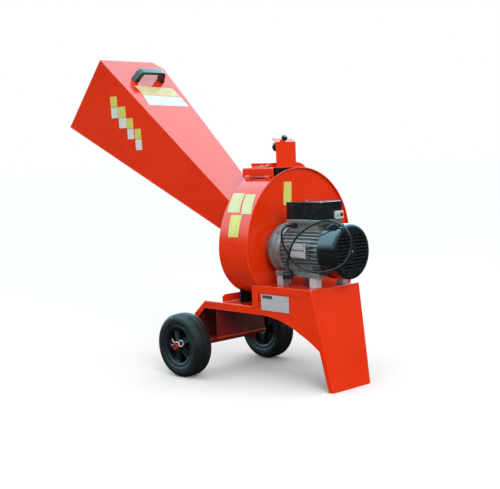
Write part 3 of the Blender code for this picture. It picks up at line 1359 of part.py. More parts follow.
# Inspection cover and its lock

def make_cover():
    """Hinged cover: a wall and flat top over the drum, with a raised tier that curves down at its end."""
    sheet = COVER_SHEET
    wall_bottom = scroll_height(COVER_Y + sheet) + COVER_GROUND_CLEARANCE
    corner = 0.005
    path = [(COVER_Y, wall_bottom)]
    path += arc((COVER_Y + corner, COVER_TOP - corner), corner, math.pi, math.pi / 2, 4)
    path.append((COVER_FLAT_END, COVER_TOP))
    middle = (COVER_X[0] + COVER_X[1]) / 2
    cover = plate(strip(path, sheet), COVER_X[1] - COVER_X[0], "YZ", (middle, 0.0, 0.0))
    end_z = scroll_height(TIER_END_Y) + COVER_GROUND_CLEARANCE + sheet
    drop = TIER_TOP - end_z
    run = TIER_END_Y - TIER_BEND_Y
    bend = [(TIER_BEND_Y + run * math.sin(a), TIER_TOP - drop * (1 - math.cos(a))) for a in
            (math.radians(90) * i / 8 for i in range(1, 8))]
    tier_path = [(TIER_Y, COVER_TOP - sheet / 2), (TIER_Y, TIER_TOP), (TIER_BEND_Y, TIER_TOP)] + bend
    tier_middle = (TIER_X[0] + TIER_X[1]) / 2
    tier = plate(strip(tier_path, sheet), TIER_X[1] - TIER_X[0], "YZ", (tier_middle, 0.0, 0.0))
    floor = [(COVER_FLAT_END - sheet, COVER_TOP - sheet / 2), (TIER_Y, COVER_TOP - sheet / 2)]
    shoulder = [(y, max(scroll_height(y), COVER_TOP - 0.02) + COVER_GROUND_CLEARANCE) for y in
                (bend[-1][0] - 0.004, bend[-1][0] - 0.030)]
    end_wall = plate(tier_path[1:] + shoulder + floor, sheet, "YZ", (TIER_X[1] - sheet / 2, 0.0, 0.0))
    join(cover, tier, end_wall)
    notches = []
    top = hinge_z() + HINGE_RADIUS + 0.001
    for x in KNUCKLES_X:
        low = (x - GAP, COVER_Y - 0.01, wall_bottom - 0.01)
        notches.append((low, (x + KNUCKLE_LENGTH + GAP, COVER_Y + 0.01, top)))
    cut(cover, blocks(notches))
    for x in KNUCKLES_X:
        join(cover, knuckle(x + KNUCKLE_LENGTH + GAP))
    return add_part("inspection_cover", cover, RED)


def make_hinge_pin():
    start = KNUCKLES_X[0] - 0.003
    end = KNUCKLES_X[1] + 2 * KNUCKLE_LENGTH + 0.003
    pin = rod(HINGE_PIN_RADIUS, (start, HINGE_Y, hinge_z()), (end, HINGE_Y, hinge_z()), 12)
    return add_part("cover_hinge_pin", pin, ZINC)


def bracket_slope():
    """Unit vector up the bent-back top of the lock bracket, as (x, z)."""
    return Vector(BRACKET_BACK).normalized()


def make_bracket():
    """Upright sheet on the cover with a foot and a top bent back, its corners rounded."""
    foot = COVER_TOP + GAP
    path = [
        (BRACKET_X - BRACKET_FOOT, foot), (BRACKET_X, foot), (BRACKET_X, BRACKET_TOP),
        (BRACKET_X + BRACKET_BACK[0], BRACKET_TOP + BRACKET_BACK[1]),
    ]
    outline = path + offset_path(path, -COVER_SHEET)[::-1]
    low_y, high_y = BRACKET_Y
    bracket = plate(outline, high_y - low_y, "XZ", (0.0, (low_y + high_y) / 2, 0.0))
    front = rounded_rectangle((low_y, foot), (high_y, BRACKET_TOP + BRACKET_BACK[1]), BRACKET_CORNER)
    combine(bracket, plate(front, 2 * (BRACKET_X + BRACKET_FOOT), "YZ"), "INTERSECT")
    return add_part("lock_bracket", bracket, RED)


def make_knobs():
    """Round knob behind the bracket and a taller one on its bent-back top."""
    start = BRACKET_X - COVER_SHEET - GAP
    stem = start - KNOB_STEM_LENGTH
    back = stem - SIDE_KNOB_THICKNESS
    edge = 0.002
    radius = SIDE_KNOB_RADIUS
    profile = [
        (0.0, start), (KNOB_STEM_RADIUS, start), (KNOB_STEM_RADIUS, stem), (radius - edge, stem),
        (radius, stem - edge), (radius, back + edge), (radius - edge, back), (0.0, back),
    ]
    add_part("closing_knob", turned(profile, 24, "X", (0.0, SIDE_KNOB_Y, SIDE_KNOB_Z)), DARK_PLASTIC)
    slope = bracket_slope()
    normal = Vector((slope.y, -slope.x))
    middle = Vector((BRACKET_X, BRACKET_TOP)) + Vector(BRACKET_BACK) / 2
    radius = TOP_KNOB_RADIUS
    base = 0.003
    top = base + TOP_KNOB_HEIGHT
    profile = [
        (0.0, GAP), (KNOB_STEM_RADIUS, GAP), (KNOB_STEM_RADIUS, base), (radius - edge, base), (radius, base + edge),
        (radius, top - edge), (radius - edge, top), (0.0, top),
    ]
    knob = turned(profile, 20)
    turn = Vector((normal.x, 0.0, normal.y)).to_track_quat("Z", "Y").to_matrix().to_4x4()
    knob.matrix_world = Matrix.Translation((middle.x, sum(BRACKET_Y) / 2, middle.y)) @ turn
    add_part("top_knob", knob, DARK_PLASTIC)


def make_lock_switch():
    """Interlock switch between the drum and the cover's flat top; its underside follows the drum."""
    top = COVER_TOP - COVER_SHEET - GAP
    ends = [scroll_angle(y, GAP) for y in LOCK_SWITCH_Y]
    steps = 8
    under = [scroll_point(ends[0] + (ends[1] - ends[0]) * i / steps, GAP) for i in range(steps + 1)]
    outline = under + [(under[-1][0], top), (under[0][0], top)]
    length = LOCK_SWITCH_X[1] - LOCK_SWITCH_X[0]
    switch = plate(outline, length, "YZ", (sum(LOCK_SWITCH_X) / 2, 0.0, 0.0))
    return add_part("interlock_switch", switch, DARK_PLASTIC)


make_chassis()
make_side_frame()
make_drum_stop()
make_saddle("saddle_rear", FAR_LIP_X + SADDLE_INSET)
make_saddle("saddle_front", NEAR_LIP_X - SADDLE_INSET)
make_apron()
make_axle()
for wheel_side, wheel_label in ((-1, "left"), (1, "right")):
    make_wheel(wheel_side, wheel_label)
    make_washer(wheel_side, wheel_label)
    make_clip(wheel_side, wheel_label)
make_drum_shell()
make_drum_plates()
make_rotor_disc()
make_knives()
make_counter_knife()
make_rotor_bolt()
make_shaft()
make_motor_flange()
make_motor_housing()
make_rear_shield()
make_bearing("bearing_front", FRONT_BEARING_X)
make_bearing("bearing_rear", REAR_BEARING_X)
make_stator()
make_cooling_fan()
make_fan_cover()
make_feet()
make_terminal_box()
make_switch()
make_gland()
make_cord()
make_plug()
make_hopper()
make_handle()
make_flap()
make_cover()
make_hinge_pin()
make_bracket()
make_knobs()
make_lock_switch()
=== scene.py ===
import json
import math
import bmesh
import bpy
from mathutils import Matrix, Vector

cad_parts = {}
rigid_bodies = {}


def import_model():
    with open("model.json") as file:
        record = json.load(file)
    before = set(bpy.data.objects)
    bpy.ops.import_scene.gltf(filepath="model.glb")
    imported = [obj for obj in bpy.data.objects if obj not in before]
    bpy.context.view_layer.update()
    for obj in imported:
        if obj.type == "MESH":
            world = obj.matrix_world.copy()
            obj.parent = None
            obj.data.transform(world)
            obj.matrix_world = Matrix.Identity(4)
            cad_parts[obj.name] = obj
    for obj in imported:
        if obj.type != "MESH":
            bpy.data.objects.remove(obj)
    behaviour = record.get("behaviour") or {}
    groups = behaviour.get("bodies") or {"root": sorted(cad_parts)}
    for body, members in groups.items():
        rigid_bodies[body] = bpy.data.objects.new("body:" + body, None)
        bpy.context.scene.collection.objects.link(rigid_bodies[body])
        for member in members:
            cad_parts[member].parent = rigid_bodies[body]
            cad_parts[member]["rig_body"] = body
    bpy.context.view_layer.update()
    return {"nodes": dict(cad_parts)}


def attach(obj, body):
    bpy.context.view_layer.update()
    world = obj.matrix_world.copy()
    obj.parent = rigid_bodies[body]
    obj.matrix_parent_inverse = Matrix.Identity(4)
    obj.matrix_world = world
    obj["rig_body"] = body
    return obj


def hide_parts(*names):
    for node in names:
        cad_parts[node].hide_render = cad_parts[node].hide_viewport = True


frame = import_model()
nodes = frame["nodes"]
scene = bpy.context.scene
scene.view_settings.view_transform = "Standard"
xAxis, yAxis, zAxis = Vector((1, 0, 0)), Vector((0, 1, 0)), Vector((0, 0, 1))
print("frame loaded,", len(nodes), "nodes")

# camera, fitted to the photograph
cameraLook = {
    "place": (2.82838, -2.84973, 0.89037), "azimuth": 46.0517, "elevation": 5.0724, "roll": -2.0325,
    "lens": 72.188, "sensor": 36.0,
}


def aimCamera(look):
    azimuth, elevation, roll = (math.radians(look[key]) for key in ("azimuth", "elevation", "roll"))
    level = math.cos(elevation)
    back = Vector((math.sin(azimuth) * level, -math.cos(azimuth) * level, math.sin(elevation)))
    side = (-back).cross(zAxis).normalized()
    rise = side.cross(-back)
    right = side * math.cos(roll) + rise * math.sin(roll)
    upward = rise * math.cos(roll) - side * math.sin(roll)
    data = bpy.data.cameras.new("photoCamera")
    data.sensor_width = look["sensor"]
    data.lens = look["lens"]
    camera = bpy.data.objects.new("photoCamera", data)
    turn = Matrix((right, upward, back)).transposed().to_4x4()
    camera.matrix_world = Matrix.Translation(look["place"]) @ turn
    scene.collection.objects.link(camera)
    scene.camera = camera


aimCamera(cameraLook)
print("camera placed")


# nodes of a material, and the groups that the finishes share
def addNode(tree, kind, **values):
    node = tree.nodes.new(kind)
    for key, value in values.items():
        setattr(node, key, value)
    return node


def joinUp(tree, *pairs):
    for source, target in pairs:
        tree.links.new(source, target)


def feed(tree, socket, item):
    # a colour or a number is set, a socket is linked
    if isinstance(item, tuple):
        socket.default_value = (*item, 1.0)
    elif isinstance(item, float):
        socket.default_value = item
    else:
        tree.links.new(item, socket)


def ramped(tree, value, low, high, outLow=0.0, outHigh=1.0):
    node = addNode(tree, "ShaderNodeMapRange", clamp=True, interpolation_type="SMOOTHSTEP")
    ends = {"From Min": low, "From Max": high, "To Min": outLow, "To Max": outHigh, "Value": value}
    for label, item in ends.items():
        feed(tree, node.inputs[label], item)
    return node.outputs["Result"]


def timesOf(tree, first, second):
    node = addNode(tree, "ShaderNodeMath", operation="MULTIPLY", use_clamp=True)
    joinUp(tree, (first, node.inputs[0]), (second, node.inputs[1]))
    return node.outputs[0]


def mixColour(tree, mask, under, over):
    # sockets 6 and 7 of a mix node are its colours
    node = addNode(tree, "ShaderNodeMix", data_type="RGBA")
    for index, item in ((0, mask), (6, under), (7, over)):
        feed(tree, node.inputs[index], item)
    return node.outputs[2]


def addNoise(tree, vector, scale, detail):
    noise = addNode(tree, "ShaderNodeTexNoise")
    for label, item in (("Vector", vector), ("Scale", scale), ("Detail", detail)):
        feed(tree, noise.inputs[label], item)
    return noise.outputs["Fac"]


def startGroup(name, output, **inputs):
    group = bpy.data.node_groups.new(name, "ShaderNodeTree")
    group.interface.new_socket("Vector", in_out="INPUT", socket_type="NodeSocketVector")
    for label, value in inputs.items():
        socket = group.interface.new_socket(label, in_out="INPUT", socket_type="NodeSocketFloat")
        socket.default_value = value
    group.interface.new_socket(output, in_out="OUTPUT", socket_type="NodeSocketFloat")
    start = addNode(group, "NodeGroupInput")
    end = addNode(group, "NodeGroupOutput")
    return group, start.outputs, end.inputs[output]


def buildMottle():
    tree, given, result = startGroup("mottle", "Mask", Scale=20.0, Detail=4.0, Low=0.35, High=0.65)
    noise = addNoise(tree, given["Vector"], given["Scale"], given["Detail"])
    tree.links.new(ramped(tree, noise, given["Low"], given["High"]), result)
    return tree


# lightens edges: rubbed wear, and on the red enamel also a painted highlight along the folds
def buildEdgeRubAndHighlight():
    tree, given, result = startGroup("edgeRubAndHighlight", "Mask", Width=0.002, Amount=0.5, Scale=60.0)
    bevel = addNode(tree, "ShaderNodeBevel", samples=4)
    surface = addNode(tree, "ShaderNodeNewGeometry")
    dot = addNode(tree, "ShaderNodeVectorMath", operation="DOT_PRODUCT")
    joinUp(
        tree, (given["Width"], bevel.inputs["Radius"]), (bevel.outputs[0], dot.inputs[0]),
        (surface.outputs["Normal"], dot.inputs[1]),
    )
    # one where the rounded normal departs from the flat one
    edge = ramped(tree, dot.outputs["Value"], 1.0, 0.93)
    broken = ramped(tree, addNoise(tree, given["Vector"], given["Scale"], 5.0), 0.30, 0.62)
    tree.links.new(timesOf(tree, timesOf(tree, edge, broken), given["Amount"]), result)
    return tree


def buildDust():
    tree, given, result = startGroup("settledDust", "Mask", Scale=30.0, Amount=0.3)
    surface = addNode(tree, "ShaderNodeNewGeometry")
    split = addNode(tree, "ShaderNodeSeparateXYZ")
    tree.links.new(surface.outputs["Normal"], split.inputs[0])
    level = ramped(tree, split.outputs["Z"], 0.35, 1.0)
    cloud = ramped(tree, addNoise(tree, given["Vector"], given["Scale"], 7.0), 0.42, 0.70)
    tree.links.new(timesOf(tree, timesOf(tree, level, cloud), given["Amount"]), result)
    return tree


def buildScuffs():
    tree, given, result = startGroup("fineScuffs", "Mask", Scale=40.0, Amount=0.5)
    turn = addNode(tree, "ShaderNodeMapping")
    turn.inputs["Rotation"].default_value = (0.5, 0.9, 0.3)
    turn.inputs["Scale"].default_value = (1.0, 9.0, 22.0)
    tree.links.new(given["Vector"], turn.inputs["Vector"])
    streaks = ramped(tree, addNoise(tree, turn.outputs[0], given["Scale"], 6.0), 0.60, 0.74)
    tree.links.new(timesOf(tree, streaks, given["Amount"]), result)
    return tree


def buildGrain():
    tree, given, result = startGroup("surfaceGrain", "Height", Scale=400.0, Pits=0.0)
    noise = addNoise(tree, given["Vector"], given["Scale"], 3.0)
    pits = addNode(tree, "ShaderNodeTexVoronoi")
    mix = addNode(tree, "ShaderNodeMix", data_type="FLOAT")
    joinUp(
        tree, (given["Vector"], pits.inputs["Vector"]), (given["Scale"], pits.inputs["Scale"]),
        (given["Pits"], mix.inputs["Factor"]), (noise, mix.inputs["A"]),
        (pits.outputs["Distance"], mix.inputs["B"]), (mix.outputs["Result"], result),
    )
    return tree


groups = {
    "mottle": buildMottle(), "edgeRubAndHighlight": buildEdgeRubAndHighlight(), "dust": buildDust(), "scuffs": buildScuffs(),
    "grain": buildGrain(),
}
# what a finish has unless its own look says otherwise
plainFinish = {
    "stretch": (1.0, 1.0, 1.0), "dust": 0.15, "dustScale": 26.0, "dustColour": (0.50, 0.46, 0.40),
    "dustDull": 0.30, "scuffs": 0.25, "scuffScale": 14.0, "scuffDull": 0.20, "rubHighlight": 0.4, "rubHighlightScale": 70.0,
    "rubHighlightWidth": 0.0016, "glossScale": 42.0, "pits": 0.0, "grainScale": 500.0, "grainStrength": 0.3,
    "grainDepth": 0.0004, "metallic": 0.0, "coat": 0.0, "coatRough": 0.1, "specular": 0.5,
}


def makeFinish(name, ownLook):
    look = {"scuffColour": ownLook["base"], "rubHighlightColour": ownLook["base"], **plainFinish, **ownLook}
    material = bpy.data.materials.new(name)
    material.use_nodes = True
    tree = material.node_tree
    tree.nodes.clear()
    output = addNode(tree, "ShaderNodeOutputMaterial")
    shader = addNode(tree, "ShaderNodeBsdfPrincipled")
    place = addNode(tree, "ShaderNodeTexCoord")
    mapping = addNode(tree, "ShaderNodeMapping")
    mapping.inputs["Scale"].default_value = look["stretch"]
    joinUp(tree, (place.outputs["Object"], mapping.inputs["Vector"]), (shader.outputs[0], output.inputs[0]))

    def useGroup(kind, **values):
        node = addNode(tree, "ShaderNodeGroup", node_tree=groups[kind])
        tree.links.new(mapping.outputs[0], node.inputs["Vector"])
        for key, value in values.items():
            node.inputs[key].default_value = value
        return node.outputs[0]

    def dulled(rough, mask, amount):
        node = addNode(tree, "ShaderNodeMath", operation="MULTIPLY_ADD", use_clamp=True)
        for index, item in enumerate((mask, amount, rough)):
            feed(tree, node.inputs[index], item)
        return node.outputs[0]

    cloud = useGroup("mottle", Scale=look["cloudScale"], Detail=5.0, Low=0.36, High=0.66)
    dust = useGroup("dust", Scale=look["dustScale"], Amount=look["dust"])
    scuffs = useGroup("scuffs", Scale=look["scuffScale"], Amount=look["scuffs"])
    rubHighlight = useGroup("edgeRubAndHighlight", Width=look["rubHighlightWidth"], Amount=look["rubHighlight"], Scale=look["rubHighlightScale"])
    colour = mixColour(tree, cloud, look["base"], look["shade"])
    colour = mixColour(tree, dust, colour, look["dustColour"])
    colour = mixColour(tree, scuffs, colour, look["scuffColour"])
    # edges lightened: rubbed wear, and a painted highlight where the edge colour is set lighter than the
    # paint
    colour = mixColour(tree, rubHighlight, colour, look["rubHighlightColour"])
    gloss = useGroup("mottle", Scale=look["glossScale"], Detail=4.0, Low=0.30, High=0.70)
    rough = ramped(tree, gloss, 0.0, 1.0, *look["rough"])
    rough = dulled(rough, dust, look["dustDull"])
    rough = dulled(rough, scuffs, look["scuffDull"])
    height = useGroup("grain", Scale=look["grainScale"], Pits=look["pits"])
    bump = addNode(tree, "ShaderNodeBump")
    bump.inputs["Strength"].default_value = look["grainStrength"]
    bump.inputs["Distance"].default_value = look["grainDepth"]
    joinUp(
        tree, (height, bump.inputs["Height"]), (bump.outputs[0], shader.inputs["Normal"]),
        (colour, shader.inputs["Base Color"]), (rough, shader.inputs["Roughness"]),
    )
    shader.inputs["Metallic"].default_value = look["metallic"]
    shader.inputs["Coat Weight"].default_value = look["coat"]
    shader.inputs["Coat Roughness"].default_value = look["coatRough"]
    shader.inputs["Specular IOR Level"].default_value = look["specular"]
    material.diffuse_color = (*look["base"], 1.0)
    return material


finishLooks = {
    # its lighter pink edges are partly rubbed paint and partly a painted highlight along the folds
    "redEnamel": {
        "base": (0.740, 0.034, 0.0030), "shade": (0.700, 0.029, 0.0025), "cloudScale": 5.0,
        "rough": (0.10, 0.17), "glossScale": 24.0, "dust": 0.04, "dustColour": (0.78, 0.26, 0.08),
        "scuffs": 0.10, "scuffColour": (0.78, 0.11, 0.03), "rubHighlight": 0.55, "rubHighlightColour": (0.92, 0.27, 0.14),
        "rubHighlightWidth": 0.0020, "grainScale": 260.0, "grainStrength": 0.03, "grainDepth": 0.0003,
    },
    # painted shade: a dark red standing for the shade on the chassis sheet's inner side and on the apron
    "shadeEnamel": {
        "base": (0.150, 0.009, 0.008), "shade": (0.085, 0.006, 0.006), "cloudScale": 12.0,
        "rough": (0.30, 0.45), "dust": 0.06, "dustColour": (0.24, 0.06, 0.04), "rubHighlight": 0.20,
        "rubHighlightColour": (0.50, 0.07, 0.04), "grainScale": 320.0, "grainStrength": 0.2,
    },
    # painted shade: a darker red for the axle tube between the wheels and the cover's hinge pin, which lie in
    # shade
    "halfShadeEnamel": {
        "base": (0.340, 0.022, 0.017), "shade": (0.260, 0.018, 0.014), "cloudScale": 14.0,
        "rough": (0.22, 0.36), "dust": 0.05, "dustColour": (0.40, 0.10, 0.06), "rubHighlight": 0.30,
        "rubHighlightColour": (0.62, 0.10, 0.06), "grainScale": 300.0, "grainStrength": 0.1,
    },
    "blackPlastic": {
        "base": (0.0040, 0.0055, 0.0060), "shade": (0.0060, 0.0080, 0.0090), "cloudScale": 20.0,
        "rough": (0.22, 0.38), "dust": 0.08, "dustColour": (0.025, 0.030, 0.031), "scuffs": 0.14,
        "scuffColour": (0.022, 0.028, 0.030), "rubHighlight": 0.45, "rubHighlightColour": (0.09, 0.10, 0.11),
        "grainScale": 900.0, "grainStrength": 0.22, "pits": 0.5, "grainDepth": 0.0002,
    },
    "glossBlack": {
        "base": (0.0030, 0.0040, 0.0045), "shade": (0.0050, 0.0065, 0.0075), "cloudScale": 12.0,
        "rough": (0.10, 0.22), "dust": 0.06, "dustColour": (0.06, 0.07, 0.075), "scuffs": 0.15,
        "scuffColour": (0.05, 0.06, 0.065), "rubHighlight": 0.35, "rubHighlightColour": (0.10, 0.12, 0.13),
        "grainScale": 420.0, "grainStrength": 0.06, "coat": 0.6, "coatRough": 0.06,
    },
    "tyreRubber": {
        "base": (0.0065, 0.0090, 0.0100), "shade": (0.0120, 0.0150, 0.0160), "cloudScale": 16.0,
        "rough": (0.42, 0.62), "dust": 0.22, "dustColour": (0.05, 0.052, 0.05), "scuffs": 0.35,
        "scuffColour": (0.030, 0.034, 0.035), "rubHighlight": 0.35, "rubHighlightColour": (0.06, 0.065, 0.066),
        "grainScale": 700.0, "grainStrength": 0.35, "pits": 0.6,
    },
    "rimPlastic": {
        "base": (0.0060, 0.0078, 0.0115), "shade": (0.0090, 0.0115, 0.0160), "cloudScale": 30.0,
        "rough": (0.32, 0.48), "dust": 0.20, "dustColour": (0.05, 0.05, 0.048), "rubHighlight": 0.45,
        "rubHighlightColour": (0.07, 0.075, 0.08), "grainScale": 800.0, "grainStrength": 0.2,
    },
    "cordRubber": {
        "base": (0.0060, 0.0085, 0.0100), "shade": (0.0110, 0.0145, 0.0165), "cloudScale": 60.0,
        "rough": (0.34, 0.48), "dust": 0.10, "dustColour": (0.05, 0.055, 0.055), "rubHighlight": 0.0,
        "grainScale": 1100.0, "grainStrength": 0.25,
    },
    "castAluminium": {
        "metallic": 0.55, "base": (0.310, 0.315, 0.315), "shade": (0.220, 0.226, 0.230), "cloudScale": 26.0,
        "rough": (0.27, 0.42), "glossScale": 60.0, "dust": 0.20, "dustColour": (0.22, 0.22, 0.21),
        "scuffs": 0.25, "scuffColour": (0.50, 0.52, 0.52), "rubHighlight": 0.70, "rubHighlightColour": (0.62, 0.65, 0.65),
        "rubHighlightWidth": 0.0012, "grainScale": 650.0, "grainStrength": 0.55, "pits": 0.45,
    },
    "zincPlate": {
        "base": (0.62, 0.64, 0.63), "shade": (0.46, 0.48, 0.48), "cloudScale": 60.0, "rough": (0.22, 0.42),
        "dust": 0.10, "scuffs": 0.35, "scuffColour": (0.78, 0.79, 0.78), "rubHighlight": 0.5,
        "rubHighlightColour": (0.85, 0.86, 0.85), "rubHighlightWidth": 0.0007, "grainScale": 900.0, "grainStrength": 0.2,
        "metallic": 0.9,
    },
    "brightSteel": {
        "base": (0.50, 0.51, 0.52), "shade": (0.40, 0.41, 0.42), "cloudScale": 30.0, "rough": (0.24, 0.40),
        "dust": 0.10, "scuffs": 0.45, "scuffColour": (0.66, 0.67, 0.68), "rubHighlight": 0.5,
        "rubHighlightColour": (0.75, 0.76, 0.77), "grainScale": 600.0, "grainStrength": 0.25, "metallic": 1.0,
        "stretch": (1.0, 1.0, 3.0),
    },
    "coreSteel": {
        "base": (0.22, 0.23, 0.24), "shade": (0.15, 0.155, 0.16), "cloudScale": 30.0, "rough": (0.38, 0.55),
        "rubHighlight": 0.3, "rubHighlightColour": (0.4, 0.4, 0.4), "metallic": 1.0, "stretch": (40.0, 1.0, 1.0),
        "grainScale": 90.0, "grainStrength": 0.5,
    },
    "windingCopper": {
        "base": (0.55, 0.24, 0.09), "shade": (0.40, 0.15, 0.05), "cloudScale": 80.0, "rough": (0.32, 0.50),
        "rubHighlight": 0.2, "rubHighlightColour": (0.80, 0.45, 0.25), "metallic": 0.9, "stretch": (1.0, 1.0, 6.0),
        "grainStrength": 0.5,
    },
    "greyPlastic": {
        "base": (0.56, 0.60, 0.61), "shade": (0.47, 0.51, 0.52), "cloudScale": 50.0, "rough": (0.32, 0.46),
        "dust": 0.12, "rubHighlight": 0.3, "rubHighlightColour": (0.75, 0.78, 0.79), "grainScale": 900.0,
        "grainStrength": 0.15,
    },
    "greenPlastic": {
        "base": (0.300, 0.430, 0.360), "shade": (0.250, 0.370, 0.310), "cloudScale": 80.0,
        "rough": (0.28, 0.42), "rubHighlight": 0.3, "rubHighlightColour": (0.20, 0.45, 0.25), "grainScale": 900.0,
        "grainStrength": 0.12,
    },
    "redPlastic": {
        "base": (0.090, 0.012, 0.012), "shade": (0.060, 0.009, 0.009), "cloudScale": 80.0,
        "rough": (0.28, 0.42), "rubHighlight": 0.3, "rubHighlightColour": (0.70, 0.20, 0.16), "grainScale": 900.0,
        "grainStrength": 0.12,
    },
    "flapRubber": {
        "base": (0.016, 0.016, 0.016), "shade": (0.028, 0.027, 0.025), "cloudScale": 14.0,
        "rough": (0.55, 0.75), "dust": 0.4, "dustColour": (0.16, 0.13, 0.09), "rubHighlight": 0.3,
        "rubHighlightColour": (0.07, 0.07, 0.065), "grainStrength": 0.4,
    },
    "paleTile": {
        "base": (0.58, 0.62, 0.30), "shade": (0.63, 0.67, 0.36), "cloudScale": 34.0, "rough": (0.45, 0.60),
        "dust": 0.08, "rubHighlight": 0.25, "rubHighlightColour": (0.90, 0.90, 0.72), "grainStrength": 0.06, "coat": 0.3,
    },
    "yellowTile": {
        "base": (0.56, 0.58, 0.10), "shade": (0.64, 0.66, 0.15), "cloudScale": 34.0, "rough": (0.26, 0.40),
        "dust": 0.08, "rubHighlight": 0.25, "rubHighlightColour": (0.90, 0.88, 0.40), "grainStrength": 0.06, "coat": 0.3,
    },
    "creamTile": {
        "base": (0.62, 0.50, 0.22), "shade": (0.66, 0.55, 0.29), "cloudScale": 22.0, "rough": (0.45, 0.60),
        "dust": 0.06, "rubHighlight": 0.2, "rubHighlightColour": (0.95, 0.90, 0.75), "grainStrength": 0.06, "coat": 0.3,
    },
    "whiteTile": {
        "base": (0.66, 0.68, 0.66), "shade": (0.60, 0.63, 0.62), "cloudScale": 22.0, "rough": (0.45, 0.60),
        "dust": 0.08, "rubHighlight": 0.2, "rubHighlightColour": (0.95, 0.96, 0.95), "grainStrength": 0.06, "coat": 0.3,
    },
    "plateMetal": {
        "base": (0.60, 0.62, 0.64), "shade": (0.52, 0.54, 0.56), "cloudScale": 26.0, "rough": (0.34, 0.50),
        "dust": 0.10, "scuffs": 0.3, "scuffColour": (0.66, 0.67, 0.68), "rubHighlight": 0.4,
        "rubHighlightColour": (0.75, 0.76, 0.77), "grainScale": 700.0, "grainStrength": 0.15, "metallic": 0.35,
        "stretch": (1.0, 1.0, 8.0),
    },
    "plateDark": {
        "base": (0.045, 0.048, 0.052), "shade": (0.065, 0.068, 0.072), "cloudScale": 50.0,
        "rough": (0.35, 0.50), "rubHighlight": 0.2, "rubHighlightColour": (0.2, 0.2, 0.2), "grainScale": 700.0,
        "grainStrength": 0.1,
    },
}
finishes = {name: makeFinish(name, look) for name, look in finishLooks.items()}
print("finishes made,", len(finishes))

# shaping tools; CAD faces that turn by less than flatTurn degrees are merged
weldGap = 1e-6
cadWeldGap = 2e-6
flatTurn = 0.4


def placePiece(name, data, finish, body, stands):
    data.materials.append(finishes[finish])
    piece = bpy.data.objects.new(name, data)
    scene.collection.objects.link(piece)
    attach(piece, body)
    if stands:
        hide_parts(stands)
    return piece


def addPiece(
    name, shape, finish, body="machine", stands="", smoothAngle=35.0, edge=0.0, edgeSteps=2, tidy=True,
):
    if tidy:
        bmesh.ops.remove_doubles(shape, verts=shape.verts, dist=weldGap)
        bmesh.ops.recalc_face_normals(shape, faces=shape.faces)
    mesh = bpy.data.meshes.new(name)
    shape.to_mesh(mesh)
    shape.free()
    mesh.shade_smooth()
    mesh.set_sharp_from_angle(angle=math.radians(smoothAngle))
    piece = placePiece(name, mesh, finish, body, stands)
    if edge:
        bevel = piece.modifiers.new("softEdge", "BEVEL")
        bevel.width = edge
        bevel.segments = edgeSteps
        bevel.limit_method = "ANGLE"
        bevel.angle_limit = math.radians(smoothAngle)
        bevel.harden_normals = True
    return piece


def dressNode(name, node, finish, edge, smoothAngle=35.0, steps=2):
    # a copy of the CAD mesh with its flat faces merged and its edges softened
    shape = bmesh.new()
    shape.from_mesh(nodes[node].data)
    bmesh.ops.remove_doubles(shape, verts=shape.verts, dist=cadWeldGap)
    flat = math.radians(flatTurn)
    bmesh.ops.dissolve_limit(shape, angle_limit=flat, verts=shape.verts, edges=shape.edges)
    body = nodes[node]["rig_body"]
    return addPiece(name, shape, finish, body, node, smoothAngle, edge, edgeSteps=steps, tidy=False)


def dressAll(looks):
    # a look: node, finish, edge, then smooth angle and bevel steps where they differ
    for name, look in looks.items():
        dressNode(name, *look)


def repaintNode(node, finish):
    mesh = nodes[node].data
    mesh.materials.clear()
    mesh.materials.append(finishes[finish])


def edgesOf(verts):
    return list({edge for vert in verts for edge in vert.link_edges})


def allOf(shape):
    return shape.verts[:] + shape.edges[:] + shape.faces[:]


def vertsIn(grown):
    return [item for item in grown["geom"] if isinstance(item, bmesh.types.BMVert)]


def soften(shape, geom, width, steps=2, affect="EDGES"):
    return bmesh.ops.bevel(
        shape, geom=geom, offset=width, affect=affect, segments=steps, profile=0.5, material=-1,
    )


def addBlock(shape, low, high, edge, steps=2, turn=None):
    middle = (Vector(low) + Vector(high)) / 2
    size = Vector(high) - Vector(low)
    where = Matrix.Translation(middle) @ Matrix.Diagonal((*size, 1.0))
    made = bmesh.ops.create_cube(shape, size=1.0, matrix=where)
    made = soften(shape, edgesOf(made["verts"]), edge, steps)
    if turn is not None:
        bmesh.ops.transform(shape, matrix=turn, verts=made["verts"])


def addLathe(shape, outline, centre, axis, steps, closed=False):
    centre = Vector(centre)
    out = xAxis if axis is zAxis else zAxis
    verts = [shape.verts.new(centre + axis * along + out * radius) for along, radius in outline]
    edges = [shape.edges.new(pair) for pair in zip(verts, verts[1:])]
    if closed:
        edges.append(shape.edges.new((verts[-1], verts[0])))
    bmesh.ops.spin(
        shape, geom=verts + edges, cent=centre, axis=axis, angle=math.tau, steps=steps, use_merge=True,
    )


def addRod(shape, start, end, radius, sides, edge):
    start, end = Vector(start), Vector(end)
    along = end - start
    where = Matrix.Translation((start + end) / 2) @ along.to_track_quat("Z", "Y").to_matrix().to_4x4()
    made = bmesh.ops.create_cone(
        shape, cap_ends=True, segments=sides, radius1=radius, radius2=radius, depth=along.length,
        matrix=where,
    )
    rims = [e for e in edgesOf(made["verts"]) if any(len(f.verts) == sides for f in e.link_faces)]
    soften(shape, rims, edge)


def addBar(shape, start, end, width, depth, edge):
    # bar along a line, its width level
    along = (end - start).normalized()
    level = along.cross(zAxis).normalized()
    turn = Matrix((along, level, level.cross(along))).transposed().to_4x4()
    size = Matrix.Diagonal(((end - start).length, width, depth, 1.0))
    where = Matrix.Translation((start + end) / 2) @ turn @ size
    made = bmesh.ops.create_cube(shape, size=1.0, matrix=where)
    soften(shape, edgesOf(made["verts"]), edge)


boltLook = {"washerHeight": 0.0012, "washerEdge": 0.0003, "headEdge": 0.0007}


